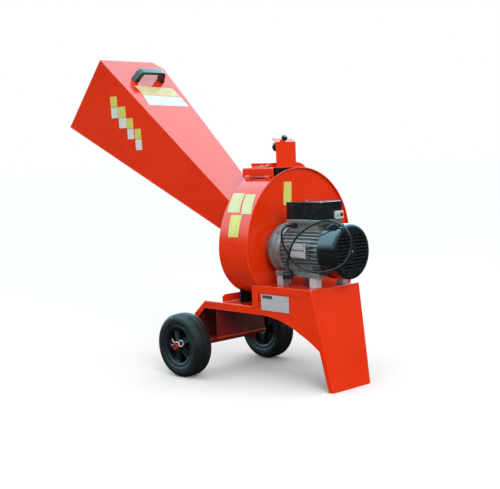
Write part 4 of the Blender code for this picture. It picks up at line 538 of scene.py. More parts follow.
def addHexBolt(shape, place, direction, look):
    place, direction = Vector(place), Vector(direction).normalized()
    seat = place + direction * boltLook["washerHeight"]
    top = seat + direction * look["headHeight"]
    addRod(shape, place, seat, look["washer"], sides=24, edge=boltLook["washerEdge"])
    addRod(shape, seat, top, look["headRadius"], sides=6, edge=boltLook["headEdge"])


def addWire(name, points, radius, finish, body="machine", stands="", sides=3):
    data = bpy.data.curves.new(name, "CURVE")
    data.dimensions = "3D"
    data.bevel_depth = radius
    data.bevel_resolution = sides
    data.use_fill_caps = True
    data.resolution_u = 6
    spline = data.splines.new("BEZIER")
    spline.bezier_points.add(len(points) - 1)
    for knot, point in zip(spline.bezier_points, points):
        knot.co = point
        knot.handle_left_type = knot.handle_right_type = "AUTO"
    return placePiece(name, data, finish, body, stands)


# plug and cord
plugLook = {
    "x": 0.203, "y": -0.1235, "top": 0.4635, "bottom": -0.0447, "pinPitch": 0.019, "pinRadius": 0.0024,
    "pinLength": 0.0185, "grips": 9, "gripRing": 0.0178, "gripDown": 0.0175,
    "gripLow": (-0.0012, -0.0012, -0.0050), "gripHigh": (0.0012, 0.0012, 0.0012),
    "outline": [
        (0.0, 0.0), (0.0, 0.0058), (-0.0015, 0.0068), (-0.0080, 0.0078), (-0.0095, 0.0105), (-0.0115, 0.0155),
        (-0.0150, 0.0172), (-0.0215, 0.0176), (-0.0235, 0.0198), (-0.0255, 0.0218), (-0.0410, 0.0218),
        (-0.0440, 0.0209), (-0.0448, 0.0192), (-0.0448, 0.0),
    ],
}
cordLook = {"diameter": 0.0084, "length": 0.923}
cordRoute = [
    (0.181, -0.0823, 0.617), (0.181, -0.0945, 0.617), (0.1803, -0.1075, 0.6143), (0.1785, -0.1182, 0.605),
    (0.1762, -0.1233, 0.5915), (0.1752, -0.1243, 0.5755), (0.1772, -0.1225, 0.557),
    (0.1838, -0.1175, 0.536), (0.1945, -0.112, 0.514), (0.2063, -0.107, 0.4918), (0.2253, -0.102, 0.4732),
    (0.2573, -0.0982, 0.4574), (0.2955, -0.0957, 0.4491), (0.3405, -0.0954, 0.4484),
    (0.3866, -0.097, 0.4565), (0.425, -0.0959, 0.4697), (0.4439, -0.0836, 0.4841),
    (0.4516, -0.0638, 0.5065), (0.4537, -0.0494, 0.5327), (0.4521, -0.0453, 0.5581),
    (0.4468, -0.046, 0.5838), (0.4321, -0.048, 0.6073), (0.4095, -0.0491, 0.6232),
    (0.3787, -0.0468, 0.6325), (0.3552, -0.0536, 0.6384), (0.3383, -0.068, 0.6372),
    (0.3213, -0.0827, 0.6315), (0.3014, -0.0945, 0.6222), (0.2792, -0.104, 0.6073),
    (0.2498, -0.112, 0.5845), (0.2311, -0.118, 0.5597), (0.2173, -0.121, 0.5348), (0.2098, -0.1225, 0.5099),
    (0.2048, -0.1232, 0.493), (0.203, -0.1235, 0.479), (0.203, -0.1235, 0.4638),
]


def makePlug(look):
    shape = bmesh.new()
    top = Vector((look["x"], look["y"], look["top"]))
    addLathe(shape, look["outline"], top, zAxis, steps=48)
    for index in range(look["grips"]):
        angle = math.tau * index / look["grips"]
        ring = Vector((math.cos(angle), math.sin(angle), 0.0)) * look["gripRing"]
        middle = top + ring - zAxis * look["gripDown"]
        addBlock(shape, middle + Vector(look["gripLow"]), middle + Vector(look["gripHigh"]), edge=0.0006)
    plug = addPiece("mainsPlug", shape, "cordRubber", stands="plug")
    pins = bmesh.new()
    for side in (-1, 1):
        foot = top + xAxis * side * look["pinPitch"] / 2 + zAxis * look["bottom"]
        addRod(pins, foot, foot - zAxis * look["pinLength"], look["pinRadius"], sides=20, edge=0.0008)
    return plug, addPiece("plugPins", pins, "zincPlate")


mainsPlug, plugPins = makePlug(plugLook)
cordRadius = cordLook["diameter"] / 2
mainsCord = addWire("mainsCord", cordRoute, cordRadius, "cordRubber", stands="power_cord", sides=5)
print("cord and plug made")

# cable gland with its tapered strain relief
glandLook = {
    "x": 0.181, "z": 0.617, "face": -0.0503, "nutRadius": 0.0125, "nutHeight": 0.010,
    "collar": [
        (-0.010, 0.0), (-0.010, 0.0105), (-0.0145, 0.0105), (-0.0165, 0.0095), (-0.0215, 0.0092),
        (-0.0235, 0.0078), (-0.0235, 0.0),
    ],
    "rings": 7, "reliefLength": 0.030, "reliefRadii": (0.0070, 0.0048), "tip": 0.0045,
    "ringOutline": [(0.0, 0.0), (-0.0024, -0.0002), (-0.0026, -0.0012), (-0.0040, -0.0013)],
}


def makeGland(look):
    shape = bmesh.new()
    face = Vector((look["x"], look["face"], look["z"]))
    addRod(shape, face, face - yAxis * look["nutHeight"], look["nutRadius"], sides=6, edge=0.0008)
    addLathe(shape, look["collar"], face, yAxis, steps=40)
    wide, narrow = look["reliefRadii"]
    outline = [(0.0, 0.0)]
    for ring in range(look["rings"]):
        share = ring / look["rings"]
        start, radius = -look["reliefLength"] * share, wide - (wide - narrow) * share
        outline += [(start + along, radius + out) for along, out in look["ringOutline"]]
    outline += [(-look["reliefLength"], look["tip"]), (-look["reliefLength"], 0.0)]
    addLathe(shape, outline, face + yAxis * look["collar"][-1][0], yAxis, steps=32)
    addPiece("cordGland", shape, "blackPlastic", stands="cable_gland")


makeGland(glandLook)
print("gland made")

# wheels; their outlines, like every lathed one, are (along the axis, radius)
wheelLook = {"x": -0.284, "z": 0.130, "track": 0.240, "spokes": 5, "firstSpoke": -18.0, "steps": 96}
tyreHalf = [
    (-0.0330, 0.0748), (-0.0338, 0.0845), (-0.0352, 0.0868), (-0.0385, 0.0872), (-0.0400, 0.0890),
    (-0.0418, 0.0935), (-0.0428, 0.1000), (-0.0430, 0.1065), (-0.0422, 0.1125), (-0.0402, 0.1178),
    (-0.0368, 0.1222), (-0.0320, 0.1256), (-0.0265, 0.1278), (-0.0200, 0.1290), (-0.0138, 0.1294),
    (-0.0130, 0.1262), (-0.0092, 0.1262), (-0.0084, 0.1297), (0.0, 0.1300),
]
rimHalf = [
    (-0.0352, 0.0862), (-0.0386, 0.0858), (-0.0396, 0.0845), (-0.0396, 0.0815), (-0.0380, 0.0775),
    (-0.0372, 0.0735), (-0.0352, 0.0712), (-0.0310, 0.0700), (-0.0090, 0.0690),
]
rimSeat = [(0.0345, 0.0742), (-0.0345, 0.0742)]
rimHub = [
    (-0.0270, 0.0142), (-0.0270, 0.0190), (-0.0255, 0.0205), (0.0330, 0.0225), (0.0380, 0.0215),
    (0.0400, 0.0195), (0.0408, 0.0175), (0.0408, 0.0142),
]
rimWeb = [(-0.0060, 0.0180), (-0.0060, 0.0705), (-0.0030, 0.0705), (-0.0030, 0.0180)]
spokeLook = {
    "rimEnd": 0.0700, "rimWidth": 0.030, "rimFace": 0.0255, "hubEnd": 0.0185, "hubWidth": 0.015,
    "hubFace": 0.0330, "back": -0.0160, "panelEdge": 0.0032, "panelDepth": 0.0030, "edge": 0.0009,
}


def mirrored(outline):
    return [(-along, radius) for along, radius in reversed(outline)]


def sided(side, outline):
    return [(side * along, radius) for along, radius in outline]


def makeTyre(name, side, body, node, look):
    shape = bmesh.new()
    outline = tyreHalf + mirrored(tyreHalf[:-1])
    centre = (look["x"], side * look["track"], look["z"])
    addLathe(shape, outline, centre, yAxis, steps=look["steps"], closed=True)
    addPiece(name, shape, "tyreRubber", body, node, smoothAngle=32)


def addSpoke(shape, centre, side, angle, look):
    # flat-faced arm with a sunk panel, wider at the rim
    made = bmesh.ops.create_cube(shape, size=1.0)
    for vert in made["verts"]:
        end = "rim" if vert.co.z > 0 else "hub"
        vert.co.x *= look[end + "Width"]
        vert.co.z = look[end + "End"]
        vert.co.y = side * (look[end + "Face"] if vert.co.y > 0 else look["back"])
    faces = list({f for v in made["verts"] for f in v.link_faces})
    front = max(faces, key=lambda f: side * f.calc_center_median().y)
    sunk = bmesh.ops.inset_individual(shape, faces=[front], thickness=look["panelEdge"], depth=0.0)
    bmesh.ops.translate(shape, vec=(0, -side * look["panelDepth"], 0), verts=front.verts[:])
    verts = list({v for f in faces + sunk["faces"] for v in f.verts})
    softened = soften(shape, edgesOf(verts), look["edge"])
    verts = list({v for f in softened["faces"] for v in f.verts} | {v for v in verts if v.is_valid})
    turn = Matrix.Translation(centre) @ Matrix.Rotation(math.radians(angle), 4, "Y")
    bmesh.ops.transform(shape, matrix=turn, verts=verts)


def makeRim(name, side, body, node, look):
    shape = bmesh.new()
    centre = Vector((look["x"], side * look["track"], look["z"]))
    ring = rimHalf + mirrored(rimHalf) + rimSeat
    addLathe(shape, ring, centre, yAxis, steps=look["steps"], closed=True)
    for outline in (rimHub, rimWeb):
        addLathe(shape, sided(side, outline), centre, yAxis, steps=48, closed=True)
    for index in range(look["spokes"]):
        addSpoke(shape, centre, side, look["firstSpoke"] + 360.0 * index / look["spokes"], spokeLook)
    addPiece(name, shape, "rimPlastic", body, node)


clipLook = {
    "y": 0.2856, "wire": 0.0021, "ring": 0.0122, "ringX": 0.0315, "ringZ": 0.0150,
    "leg": [(-0.0290, 0.0030), (-0.0120, 0.0030), (0.0100, 0.0030)],
    "bow": [
        (0.0130, 0.0160), (0.0040, 0.0172), (-0.0060, 0.0150), (-0.0125, 0.0142), (-0.0185, 0.0190),
        (-0.0240, 0.0270),
    ],
}


def makeClip(name, side, body, node, look):
    turns = [math.tau * k / 20 for k in range(18)]
    reach = look["ring"]
    ring = [(look["ringX"] + reach * math.sin(a), look["ringZ"] - reach * math.cos(a)) for a in turns]
    x, y, z = wheelLook["x"], side * look["y"], wheelLook["z"]
    points = [(x + across, y, z + up) for across, up in look["leg"] + ring + look["bow"]]
    addWire(name, points, look["wire"], "plateMetal", body, node, sides=4)


# the axle's open ends, closed by black discs painted as the shade inside the bore, and the washers on the
# wheels' inner sides
boreOutline = [
    (0.2932, 0.0), (0.2932, 0.0056), (0.2941, 0.0062), (0.2941, 0.0072), (0.2900, 0.0072), (0.2900, 0.0),
]
washerOutline = [(0.2060, 0.0138), (0.2060, 0.0225), (0.2082, 0.0225), (0.2082, 0.0138)]


def makeAxleTrim(look):
    bores, washers = bmesh.new(), bmesh.new()
    centre = (look["x"], 0.0, look["z"])
    for side in (-1, 1):
        addLathe(bores, sided(side, boreOutline), centre, yAxis, steps=24)
        addLathe(washers, sided(side, washerOutline), centre, yAxis, steps=32, closed=True)
    body = nodes["axle_tube"]["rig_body"]
    addPiece("axleBores", bores, "blackPlastic", body)
    addPiece("innerWashers", washers, "zincPlate", body)


for label, side in (("left", -1), ("right", 1)):
    makeTyre(label + "Tyre", side, "wheel_" + label, "tyre_" + label, wheelLook)
    makeRim(label + "Rim", side, "wheel_" + label, "wheel_rim_" + label, wheelLook)
    clipNode = "spring_clip_" + label
    makeClip(label + "Clip", side, nodes[clipNode]["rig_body"], clipNode, clipLook)
    dressNode(label + "Washer", "washer_" + label, "blackPlastic", 0.0003)
makeAxleTrim(wheelLook)
print("wheels made")

# motor
axleHeight = 0.520  # motor and rotor
motorLook = {
    "rear": 0.335, "fanEnd": 0.420, "fanRadius": 0.105, "bend": 0.014, "wall": 0.0024,
    "front": [
        (0.0384, 0.0600), (0.0384, 0.0698), (0.0700, 0.0700), (0.0760, 0.0730), (0.0780, 0.0760),
        (0.0780, 0.0985), (0.0795, 0.1000), (0.0885, 0.1000), (0.0900, 0.0985), (0.0905, 0.0955),
        (0.0920, 0.0945), (0.1120, 0.0938), (0.1262, 0.0925), (0.1278, 0.0910), (0.1278, 0.0600),
    ],
    "ribLow": (0.0895, -0.010, 0.0800), "ribHigh": (0.1262, 0.010, 0.0945), "ribAngles": (45, 135, 225, 315),
    "boltX": 0.0900, "boltRing": 0.0900, "boltAngles": (38, 128, 218, 308),
    "headRadius": 0.0058, "headHeight": 0.0060, "washer": 0.0080,
}
grilleLook = {
    "rows": 10, "pitch": 0.0132, "slot": 0.0058, "reach": 0.0870, "hub": 0.021, "bridge": 0.0045,
    "sheet": 0.0024, "seam": 0.0004, "edge": 0.0005, "screwSink": 0.0002,
    "screw": [(0.0, 0.0), (0.0, 0.0042), (0.0012, 0.0040), (0.0020, 0.0026), (0.0022, 0.0)],
}
axleCentre = Vector((0.0, 0.0, axleHeight))


def makeFanCover(look):
    shape = bmesh.new()
    rear, end, radius, bend, wall = (look[key] for key in ("rear", "fanEnd", "fanRadius", "bend", "wall"))
    turns = [math.pi / 2 * k / 6 for k in range(7)]
    seam = [(0.0, 0.0008), (0.0006, 0.0), (0.006, 0.0), (0.0068, 0.0006), (0.0082, 0.0006), (0.009, 0.0)]
    outer = [(rear + along, radius - down) for along, down in seam]
    outer += [(end - bend + bend * math.sin(a), radius - bend + bend * math.cos(a)) for a in turns]
    inner = [(along - wall * max(0.0, along - (end - bend)) / bend, r - wall) for along, r in reversed(outer)]
    addLathe(shape, outer + inner, axleCentre, xAxis, steps=96, closed=True)
    addPiece("fanCoverShell", shape, "glossBlack", stands="fan_cover")


def cutRow(shape, level, look):
    # four upright cuts in one level band, then the two slots between them
    rise = abs(level - axleHeight)
    slot, reach, hub = look["slot"], look["reach"], look["hub"]
    far = math.sqrt(max(reach ** 2 - (rise + slot / 2) ** 2, 0.0))
    near = math.sqrt(hub ** 2 - rise ** 2) if rise < hub else look["bridge"]

    def inBand(face):
        return abs(face.calc_center_median().z - level) < slot / 2

    for cut in (-far, -near, near, far):
        band = [f for f in shape.faces if inBand(f)]
        around = list({v for f in band for v in f.verts}) + list({e for f in band for e in f.edges})
        bmesh.ops.bisect_plane(shape, geom=around + band, plane_co=(0, cut, 0), plane_no=yAxis)
    holes = [f for f in shape.faces if inBand(f) and near < abs(f.calc_center_median().y) < far]
    bmesh.ops.delete(shape, geom=holes, context="FACES")


def makeGrille(look, motor):
    shape = bmesh.new()
    outer = motor["fanRadius"] - motor["bend"] + look["seam"]
    where = Matrix.Translation((motor["fanEnd"], 0, axleHeight)) @ Matrix.Rotation(math.pi / 2, 4, "Y")
    bmesh.ops.create_circle(shape, cap_ends=True, segments=96, radius=outer, matrix=where)
    levels = [axleHeight + look["pitch"] * (row - (look["rows"] - 1) / 2) for row in range(look["rows"])]
    for level in levels:
        for cut in (level - look["slot"] / 2, level + look["slot"] / 2):
            bmesh.ops.bisect_plane(shape, geom=allOf(shape), plane_co=(0, 0, cut), plane_no=zAxis)
    for level in levels:
        cutRow(shape, level, look)
    bmesh.ops.solidify(shape, geom=shape.faces[:], thickness=look["sheet"])
    addPiece("fanGrille", shape, "blackPlastic", smoothAngle=30, edge=look["edge"], edgeSteps=1)
    screw = bmesh.new()
    addLathe(screw, look["screw"], (motor["fanEnd"] - look["screwSink"], 0.0, axleHeight), xAxis, steps=20)
    addPiece("grilleScrew", screw, "zincPlate")


def makeMotorFront(look):
    shape = bmesh.new()
    addLathe(shape, look["front"], axleCentre, xAxis, steps=96, closed=True)
    for angle in look["ribAngles"]:
        turn = Matrix.Translation(axleCentre) @ Matrix.Rotation(math.radians(angle), 4, "X")
        addBlock(shape, look["ribLow"], look["ribHigh"], edge=0.003, steps=3, turn=turn)
    addPiece("motorFront", shape, "castAluminium", stands="motor_flange", smoothAngle=40)
    bolts = bmesh.new()
    for angle in look["boltAngles"]:
        out = Vector((0, math.cos(math.radians(angle)), math.sin(math.radians(angle))))
        addHexBolt(bolts, axleCentre + xAxis * look["boltX"] + out * look["boltRing"], xAxis, look)
    addPiece("flangeBolts", bolts, "zincPlate")


makeFanCover(motorLook)
makeGrille(grilleLook, motorLook)
makeMotorFront(motorLook)
dressAll({
    "finnedHousing": ("motor_housing", "castAluminium", 0.0007),
    "rearShield": ("motor_rear_shield", "castAluminium", 0.0008),
    "leftFootRail": ("foot_rail_left", "castAluminium", 0.0008),
    "rightFootRail": ("foot_rail_right", "castAluminium", 0.0008),
})
for number in range(1, 5):
    dressNode("spacer%d" % number, "spacer_%d" % number, "plateMetal", 0.0010)
    dressNode("footBolt%d" % number, "foot_bolt_%d" % number, "zincPlate", 0.0004)
print("motor made")

# terminal box, its base frame, screws and the push buttons
boxLook = {
    "x": (0.142, 0.323), "y": 0.058, "top": 0.7060, "rim": (0.6265, 0.6396), "rimOut": 0.0015,
    "base": (0.6205, 0.6285), "baseIn": (0.004, 0.003), "edge": 0.0016, "screwIn": 0.006,
    "screwRadius": 0.0036,
}


def makeBaseFrame(look):
    shape = bmesh.new()
    low, high = look["x"]
    y, out, (inX, inY) = look["y"], look["rimOut"], look["baseIn"]
    for (bottom, top), growX, growY in ((look["rim"], out, out), (look["base"], -inX, -inY)):
        corner = (low - growX, -y - growY, bottom)
        addBlock(shape, corner, (high + growX, y + growY, top), look["edge"])
    addPiece("boxBaseFrame", shape, "castAluminium")


def makeLidScrews(look):
    shape = bmesh.new()
    low, high = look["x"]
    inset, radius, y = look["screwIn"], look["screwRadius"], look["y"]
    outline = [
        (-0.0006, 0.0), (-0.0006, radius), (0.0009, radius), (0.0021, radius * 0.72), (0.0024, 0.0012),
        (0.0014, 0.0010), (0.0014, 0.0),
    ]
    for screwX in (low + inset, high - inset):
        for screwY in (-y + inset, y - inset):
            addLathe(shape, outline, (screwX, screwY, look["top"]), zAxis, steps=24)
    addPiece("lidScrews", shape, "zincPlate")


makeBaseFrame(boxLook)
makeLidScrews(boxLook)
dressAll({
    "terminalBox": ("terminal_box", "blackPlastic", 0.0022, 35.0, 3),
    "terminalLid": ("terminal_box_lid", "blackPlastic", 0.0022, 35.0, 3),
    "switchBezel": ("switch_housing", "greyPlastic", 0.0009),
    "startButton": ("start_button", "greenPlastic", 0.0007),
    "stopButton": ("stop_button", "redPlastic", 0.0007),
})
print("terminal box made")

# chassis: one folded sheet, its outside red enamel and its inner side painted dark red as shade
frameLook = {
    "half": 0.1407, "footHalf": 0.108, "sheet": 0.003, "fold": 0.0042,
    "skin": [
        (-0.335, 0.100), (-0.335, 0.240), (-0.265, 0.3005), (0.055, 0.3005), (0.055, 0.385), (0.3305, 0.385),
        (0.4029, 0.0006),
    ],
    "foldFrom": 8.0, "rise": 0.0006, "lip": 0.0215, "archX": 0.060, "archCrown": 0.2695, "archRadius": 0.4263,
    "crease": 29.5,
    "cheek": [(-0.2664, 0.2695), (-0.3105, 0.2280), (-0.3105, 0.1900), (-0.2620, 0.1620), (-0.2620, 0.1000)],
}


def archPoint(angle, look):
    radius = look["archRadius"]
    return look["archX"] + radius * math.sin(angle), look["archCrown"] - radius * (1 - math.cos(angle))


def lowerEdge(look):
    (topX, topZ), (footX, footZ) = look["skin"][-2:]
    slope = (footX - topX) / topZ
    centreZ = look["archCrown"] - look["archRadius"]
    reach = topX + (topZ - centreZ) * slope - look["lip"] - look["archX"]
    end = math.asin(reach / (look["archRadius"] * math.hypot(1.0, slope))) - math.atan(slope)
    crease = math.radians(look["crease"])
    turns = [end + (crease - end) * k / 10 for k in range(11)] + [crease * (1 - k / 16) for k in range(1, 17)]
    return [(footX - look["lip"], look["rise"])] + [archPoint(angle, look) for angle in turns] + look["cheek"]


def taperLeg(shape, look):
    # narrows what is past the line from the platform's edge to the crease
    topX, topZ = look["skin"][-2]
    footX = look["skin"][-1][0]
    lowX, lowZ = archPoint(math.radians(look["crease"]), look)
    along = Vector((lowX - topX, 0.0, lowZ - topZ)).normalized()
    out = Vector((-along.z, 0.0, along.x))
    top = Vector((topX, 0.0, topZ))
    full = (Vector((footX, 0.0, 0.0)) - top).dot(out)
    bmesh.ops.bisect_plane(shape, geom=allOf(shape), dist=1e-6, plane_co=top, plane_no=out)
    for vert in shape.verts:
        depth = (vert.co - top).dot(out)
        if depth > 0.0:
            vert.co.y *= 1 - (1 - look["footHalf"] / look["half"]) * depth / full


def markOpenEdges(mesh):
    # an open edge is in one face only, and the rim that the sheet's thickness adds there is sharp
    uses = [0] * len(mesh.edges)
    for loop in mesh.loops:
        uses[loop.edge_index] += 1
    for edge, count in zip(mesh.edges, uses):
        if count == 1:
            edge.use_edge_sharp = True


def makeFrameSheet(look):
    shape = bmesh.new()
    half = look["half"]
    near = [shape.verts.new((x, -half, z)) for x, z in look["skin"] + lowerEdge(look)]
    shape.faces.new(near)
    folds = [shape.edges.get(pair) for pair in zip(near, near[1:len(look["skin"])])]
    bmesh.ops.mirror(shape, geom=allOf(shape), matrix=Matrix.Identity(4), merge_dist=-1.0, axis="Y")
    grown = bmesh.ops.extrude_edge_only(shape, edges=folds)
    bmesh.ops.translate(shape, vec=(0, 2 * half, 0), verts=vertsIn(grown))
    bmesh.ops.remove_doubles(shape, verts=shape.verts, dist=1e-5)
    taperLeg(shape, look)
    bmesh.ops.recalc_face_normals(shape, faces=shape.faces)
    side = min(shape.faces, key=lambda f: f.calc_center_median().y)
    if side.normal.y > 0:
        bmesh.ops.reverse_faces(shape, faces=shape.faces[:])
    turn = math.radians(look["foldFrom"])
    folded = [edge for edge in shape.edges if len(edge.link_faces) == 2 and edge.calc_face_angle() > turn]
    soften(shape, folded, look["fold"], 4)
    piece = addPiece("frameSheet", shape, "redEnamel", stands="chassis", smoothAngle=4, tidy=False)
    markOpenEdges(piece.data)
    # the sheet's inner side gets the dark enamel painted as shade
    piece.data.materials.append(finishes["shadeEnamel"])
    wall = piece.modifiers.new("sheet", "SOLIDIFY")
    wall.thickness = look["sheet"]
    wall.offset = -1.0
    wall.use_even_offset = True
    wall.material_offset = 1


makeFrameSheet(frameLook)
print("chassis made")

# the other sheet metal and the smaller CAD parts
dressAll({
    "sidePlate": ("side_frame", "redEnamel", 0.0014), "drumStop": ("drum_stop", "redEnamel", 0.0008),
    "drumBand": ("drum_shell", "redEnamel", 0.0014), "drumBack": ("drum_back_plate", "redEnamel", 0.0008),
    "drumFace": ("drum_face_plate", "redEnamel", 0.0008),
    "topCover": ("inspection_cover", "redEnamel", 0.0009),
    "lockBracket": ("lock_bracket", "redEnamel", 0.0012),
    "hopperShell": ("hopper", "redEnamel", 0.0012, 4.0),
    # the saddles are painted black, standing for the shade under the drum
    "rearSaddle": ("saddle_rear", "blackPlastic", 0.0010),
    "frontSaddle": ("saddle_front", "blackPlastic", 0.0010),
    # the hinge pin and the axle tube are painted darker red as shade
    "coverHingePin": ("cover_hinge_pin", "halfShadeEnamel", 0.0005),
    "axleTube": ("axle_tube", "halfShadeEnamel", 0.0006),
    "sideKnob": ("closing_knob", "blackPlastic", 0.0016), "topKnob": ("top_knob", "blackPlastic", 0.0014),
    "lockSwitch": ("interlock_switch", "blackPlastic", 0.0014),
    "feedFlap": ("feed_flap", "flapRubber", 0.0008),
})
# the apron is painted dark red as shade, and its lip, which catches the light, keeps the bright enamel
apronLook = {"edge": 0.0008, "lipTop": 0.1535}
apron = dressNode("apron", "apron_plate", "shadeEnamel", apronLook["edge"])
apron.data.materials.append(finishes["redEnamel"])
for face in apron.data.polygons:
    if face.center.z < apronLook["lipTop"]:
        face.material_index = 1
hiddenFinishes = {
    "rotor_disc": "brightSteel", "knife_1": "brightSteel", "knife_2": "brightSteel",
    "counter_knife": "brightSteel", "rotor_bolt": "zincPlate", "motor_shaft": "coreSteel",
    "bearing_front": "brightSteel", "bearing_rear": "brightSteel", "stator": "windingCopper",
    "cooling_fan": "blackPlastic", "flap_pin": "zincPlate",
}
for node, finish in hiddenFinishes.items():
    repaintNode(node, finish)
print("sheet metal dressed")

# small parts of the hopper, whose sides lean from the top corner of its mouth
hopperTop = (-0.8732, 1.338)
hopperLook = {
    "topHalf": 0.1693, "perX": -0.0592, "perZ": 0.05376,
    "mouthLow": (-1.1300, 1.0530), "throatLow": (-0.1150, 0.5530), "seamWidth": 0.0050, "seamDepth": 0.0030,
    "seamSunk": 0.0010, "rivet": (-0.8610, 1.3120), "rivetRadius": 0.0042, "rivetLift": 0.0002,
    "rivetEnds": (-0.0005, 0.0012), "boltX": -0.1125, "boltY": 0.0940, "boltRises": (0.5480, 0.6140, 0.6800),
    "headRadius": 0.0048, "headHeight": 0.0038, "washer": 0.0066,
}


def hopperWall(x, z, look=hopperLook):
    # half the hopper's width at a place on its side
    return look["topHalf"] + look["perX"] * (x - hopperTop[0]) + look["perZ"] * (z - hopperTop[1])


def makeHopperDetails(look):
    seams, rivets, bolts = bmesh.new(), bmesh.new(), bmesh.new()
    rivetX, rivetZ = look["rivet"]
    seamEnds = (look["mouthLow"], look["throatLow"])
    out = look["seamWidth"] / 2 - look["seamSunk"]
    for side in (-1, 1):
        start, end = (Vector((x, side * (hopperWall(x, z) + out), z)) for x, z in seamEnds)
        addBar(seams, start, end, look["seamWidth"], look["seamDepth"], edge=0.0008)
        wallY = hopperWall(rivetX, rivetZ) + look["rivetLift"]
        back, front = ((rivetX, side * (wallY + lift), rivetZ) for lift in look["rivetEnds"])
        addRod(rivets, back, front, look["rivetRadius"], sides=20, edge=0.0005)
        for z in look["boltRises"]:
            addHexBolt(bolts, (look["boltX"], side * look["boltY"], z), -xAxis, look)
    addPiece("hopperSeams", seams, "redEnamel")
    addPiece("mouthRivets", rivets, "plateDark")
    addPiece("throatBolts", bolts, "zincPlate")


handleLook = {
    "down": 0.1480, "y": 0.0075, "halfSpan": 0.0835, "height": 0.0560, "width": 0.036, "bar": 0.0130,
    "leg": 0.0210, "lean": 16.0, "bend": 0.0190, "edge": 0.0036, "throat": (-0.1083, 0.680),
    "foot": 0.0003, "innerShare": 0.7,
}


def bridgeOutline(halfSpan, height, bend, look):
    lean = math.radians(look["lean"])
    rise = height - bend
    corner = halfSpan - (bend + rise * math.sin(lean)) / math.cos(lean)
    turns = [(math.pi - lean) + (lean - math.pi / 2) * k / 5 for k in range(6)]
    left = [(-corner + bend * math.cos(a), rise + bend * math.sin(a)) for a in turns]
    right = [(-across, up) for across, up in reversed(left)]
    return [(-halfSpan, look["foot"])] + left + right + [(halfSpan, look["foot"])]


def makeHandle(look):
    outer = bridgeOutline(look["halfSpan"], look["height"], look["bend"], look)
    innerBend = look["bend"] - look["bar"] * look["innerShare"]
    inner = bridgeOutline(look["halfSpan"] - look["leg"], look["height"] - look["bar"], innerBend, look)
    shape = bmesh.new()
    low = -look["width"] / 2
    face = shape.faces.new([shape.verts.new((across, up, low)) for across, up in outer + inner[::-1]])
    grown = bmesh.ops.extrude_face_region(shape, geom=[face])
    bmesh.ops.translate(shape, vec=(0, 0, look["width"]), verts=vertsIn(grown))
    top, throat = (Vector((x, 0.0, z)) for x, z in (hopperTop, look["throat"]))
    along = (throat - top).normalized()
    normal = yAxis.cross(along) * -1
    seat = top + along * look["down"] + yAxis * look["y"]
    turn = Matrix((yAxis, normal, yAxis.cross(normal))).transposed().to_4x4()
    bmesh.ops.transform(shape, matrix=Matrix.Translation(seat) @ turn, verts=shape.verts)
    addPiece("carryHandle", shape, "glossBlack", stands="hopper_handle", edge=look["edge"], edgeSteps=3)


# a sloping plate on the cover with two bolts, and the ears of its hinge
coverLook = {
    "ramp": ((-0.1100, -0.0285, 0.8403), (0.0010, 0.0050, 0.8478)), "sheet": 0.0016,
    "bolts": ((-0.0300, -0.0120), (-0.0060, -0.0060)), "headRadius": 0.0044, "headHeight": 0.0030,
    "washer": 0.0066, "ears": ((-0.0985, -0.0700), (0.0310, 0.0440)), "earLow": (-0.0440, 0.7865),
    "earHigh": (-0.0400, 0.7985), "earEdge": 0.0016,
    "boltLift": 0.0002,
}


def makeCoverDetails(look):
    low, high = (Vector(corner) for corner in look["ramp"])
    shape = bmesh.new()
    corners = (low, (high.x, low.y, low.z), high, (low.x, high.y, high.z))
    face = shape.faces.new([shape.verts.new(corner) for corner in corners])
    face.normal_update()
    normal = face.normal.copy()
    bmesh.ops.solidify(shape, geom=[face], thickness=look["sheet"])
    addPiece("coverRamp", shape, "redEnamel", "cover", edge=0.0005)
    bolts = bmesh.new()
    for x, y in look["bolts"]:
        share = (y - low.y) / (high.y - low.y)
        place = Vector((x, y, low.z + share * (high.z - low.z)))
        addHexBolt(bolts, place + normal * look["boltLift"], normal, look)
    addPiece("coverBolts", bolts, "zincPlate", "cover")
    ears = bmesh.new()
    for left, right in look["ears"]:
        addBlock(ears, (left, *look["earLow"]), (right, *look["earHigh"]), look["earEdge"])
    addPiece("hingeEars", ears, "redEnamel")


# bare plates on the housing, and beside them dark blocks painted as the shade in its pockets
housingPlateLook = {
    "seat": ((0.1830, -0.0930, 0.4930), (0.2670, -0.0860, 0.5540)),
    "plates": (
        ((0.1985, -0.0940, 0.5280), (0.2560, -0.0928, 0.5495)),
        ((0.1860, -0.0940, 0.4985), (0.2590, -0.0928, 0.5215)),
        ((0.2610, -0.0944, 0.4945), (0.2655, -0.0925, 0.5530)),
    ),
    "pocketRises": (0.5380, 0.5185, 0.5005), "pocketLow": (0.2680, -0.0932, -0.0052),
    "pocketHigh": (0.2850, -0.0860, 0.0048),
}


def makeHousingPlates(look):
    seat, plates, pockets = bmesh.new(), bmesh.new(), bmesh.new()
    addBlock(seat, *look["seat"], edge=0.0015)
    addPiece("nameplateSeat", seat, "castAluminium")
    for low, high in look["plates"]:
        addBlock(plates, low, high, edge=0.0005, steps=1)
    addPiece("bareNameplates", plates, "plateMetal")
    for rise in look["pocketRises"]:
        low, high = (Vector(look[key]) + zAxis * rise for key in ("pocketLow", "pocketHigh"))
        addBlock(pockets, low, high, edge=0.0012)
    # painted shade: the pockets are flush dark blocks, not hollows
    addPiece("housingPockets", pockets, "plateDark")


makeHandle(handleLook)
makeHopperDetails(hopperLook)
makeCoverDetails(coverLook)
makeHousingPlates(housingPlateLook)
print("small parts made")

# the drum's scroll and the bead on its lip
scrollLook = {"least": 0.190, "growth": 0.232, "from": 180.0, "span": 168.0, "power": 1.25}
lipLook = {"x": 0.0480, "inset": -0.0011, "radius": 0.0019, "from": 14.0, "to": 306.0, "steps": 72}


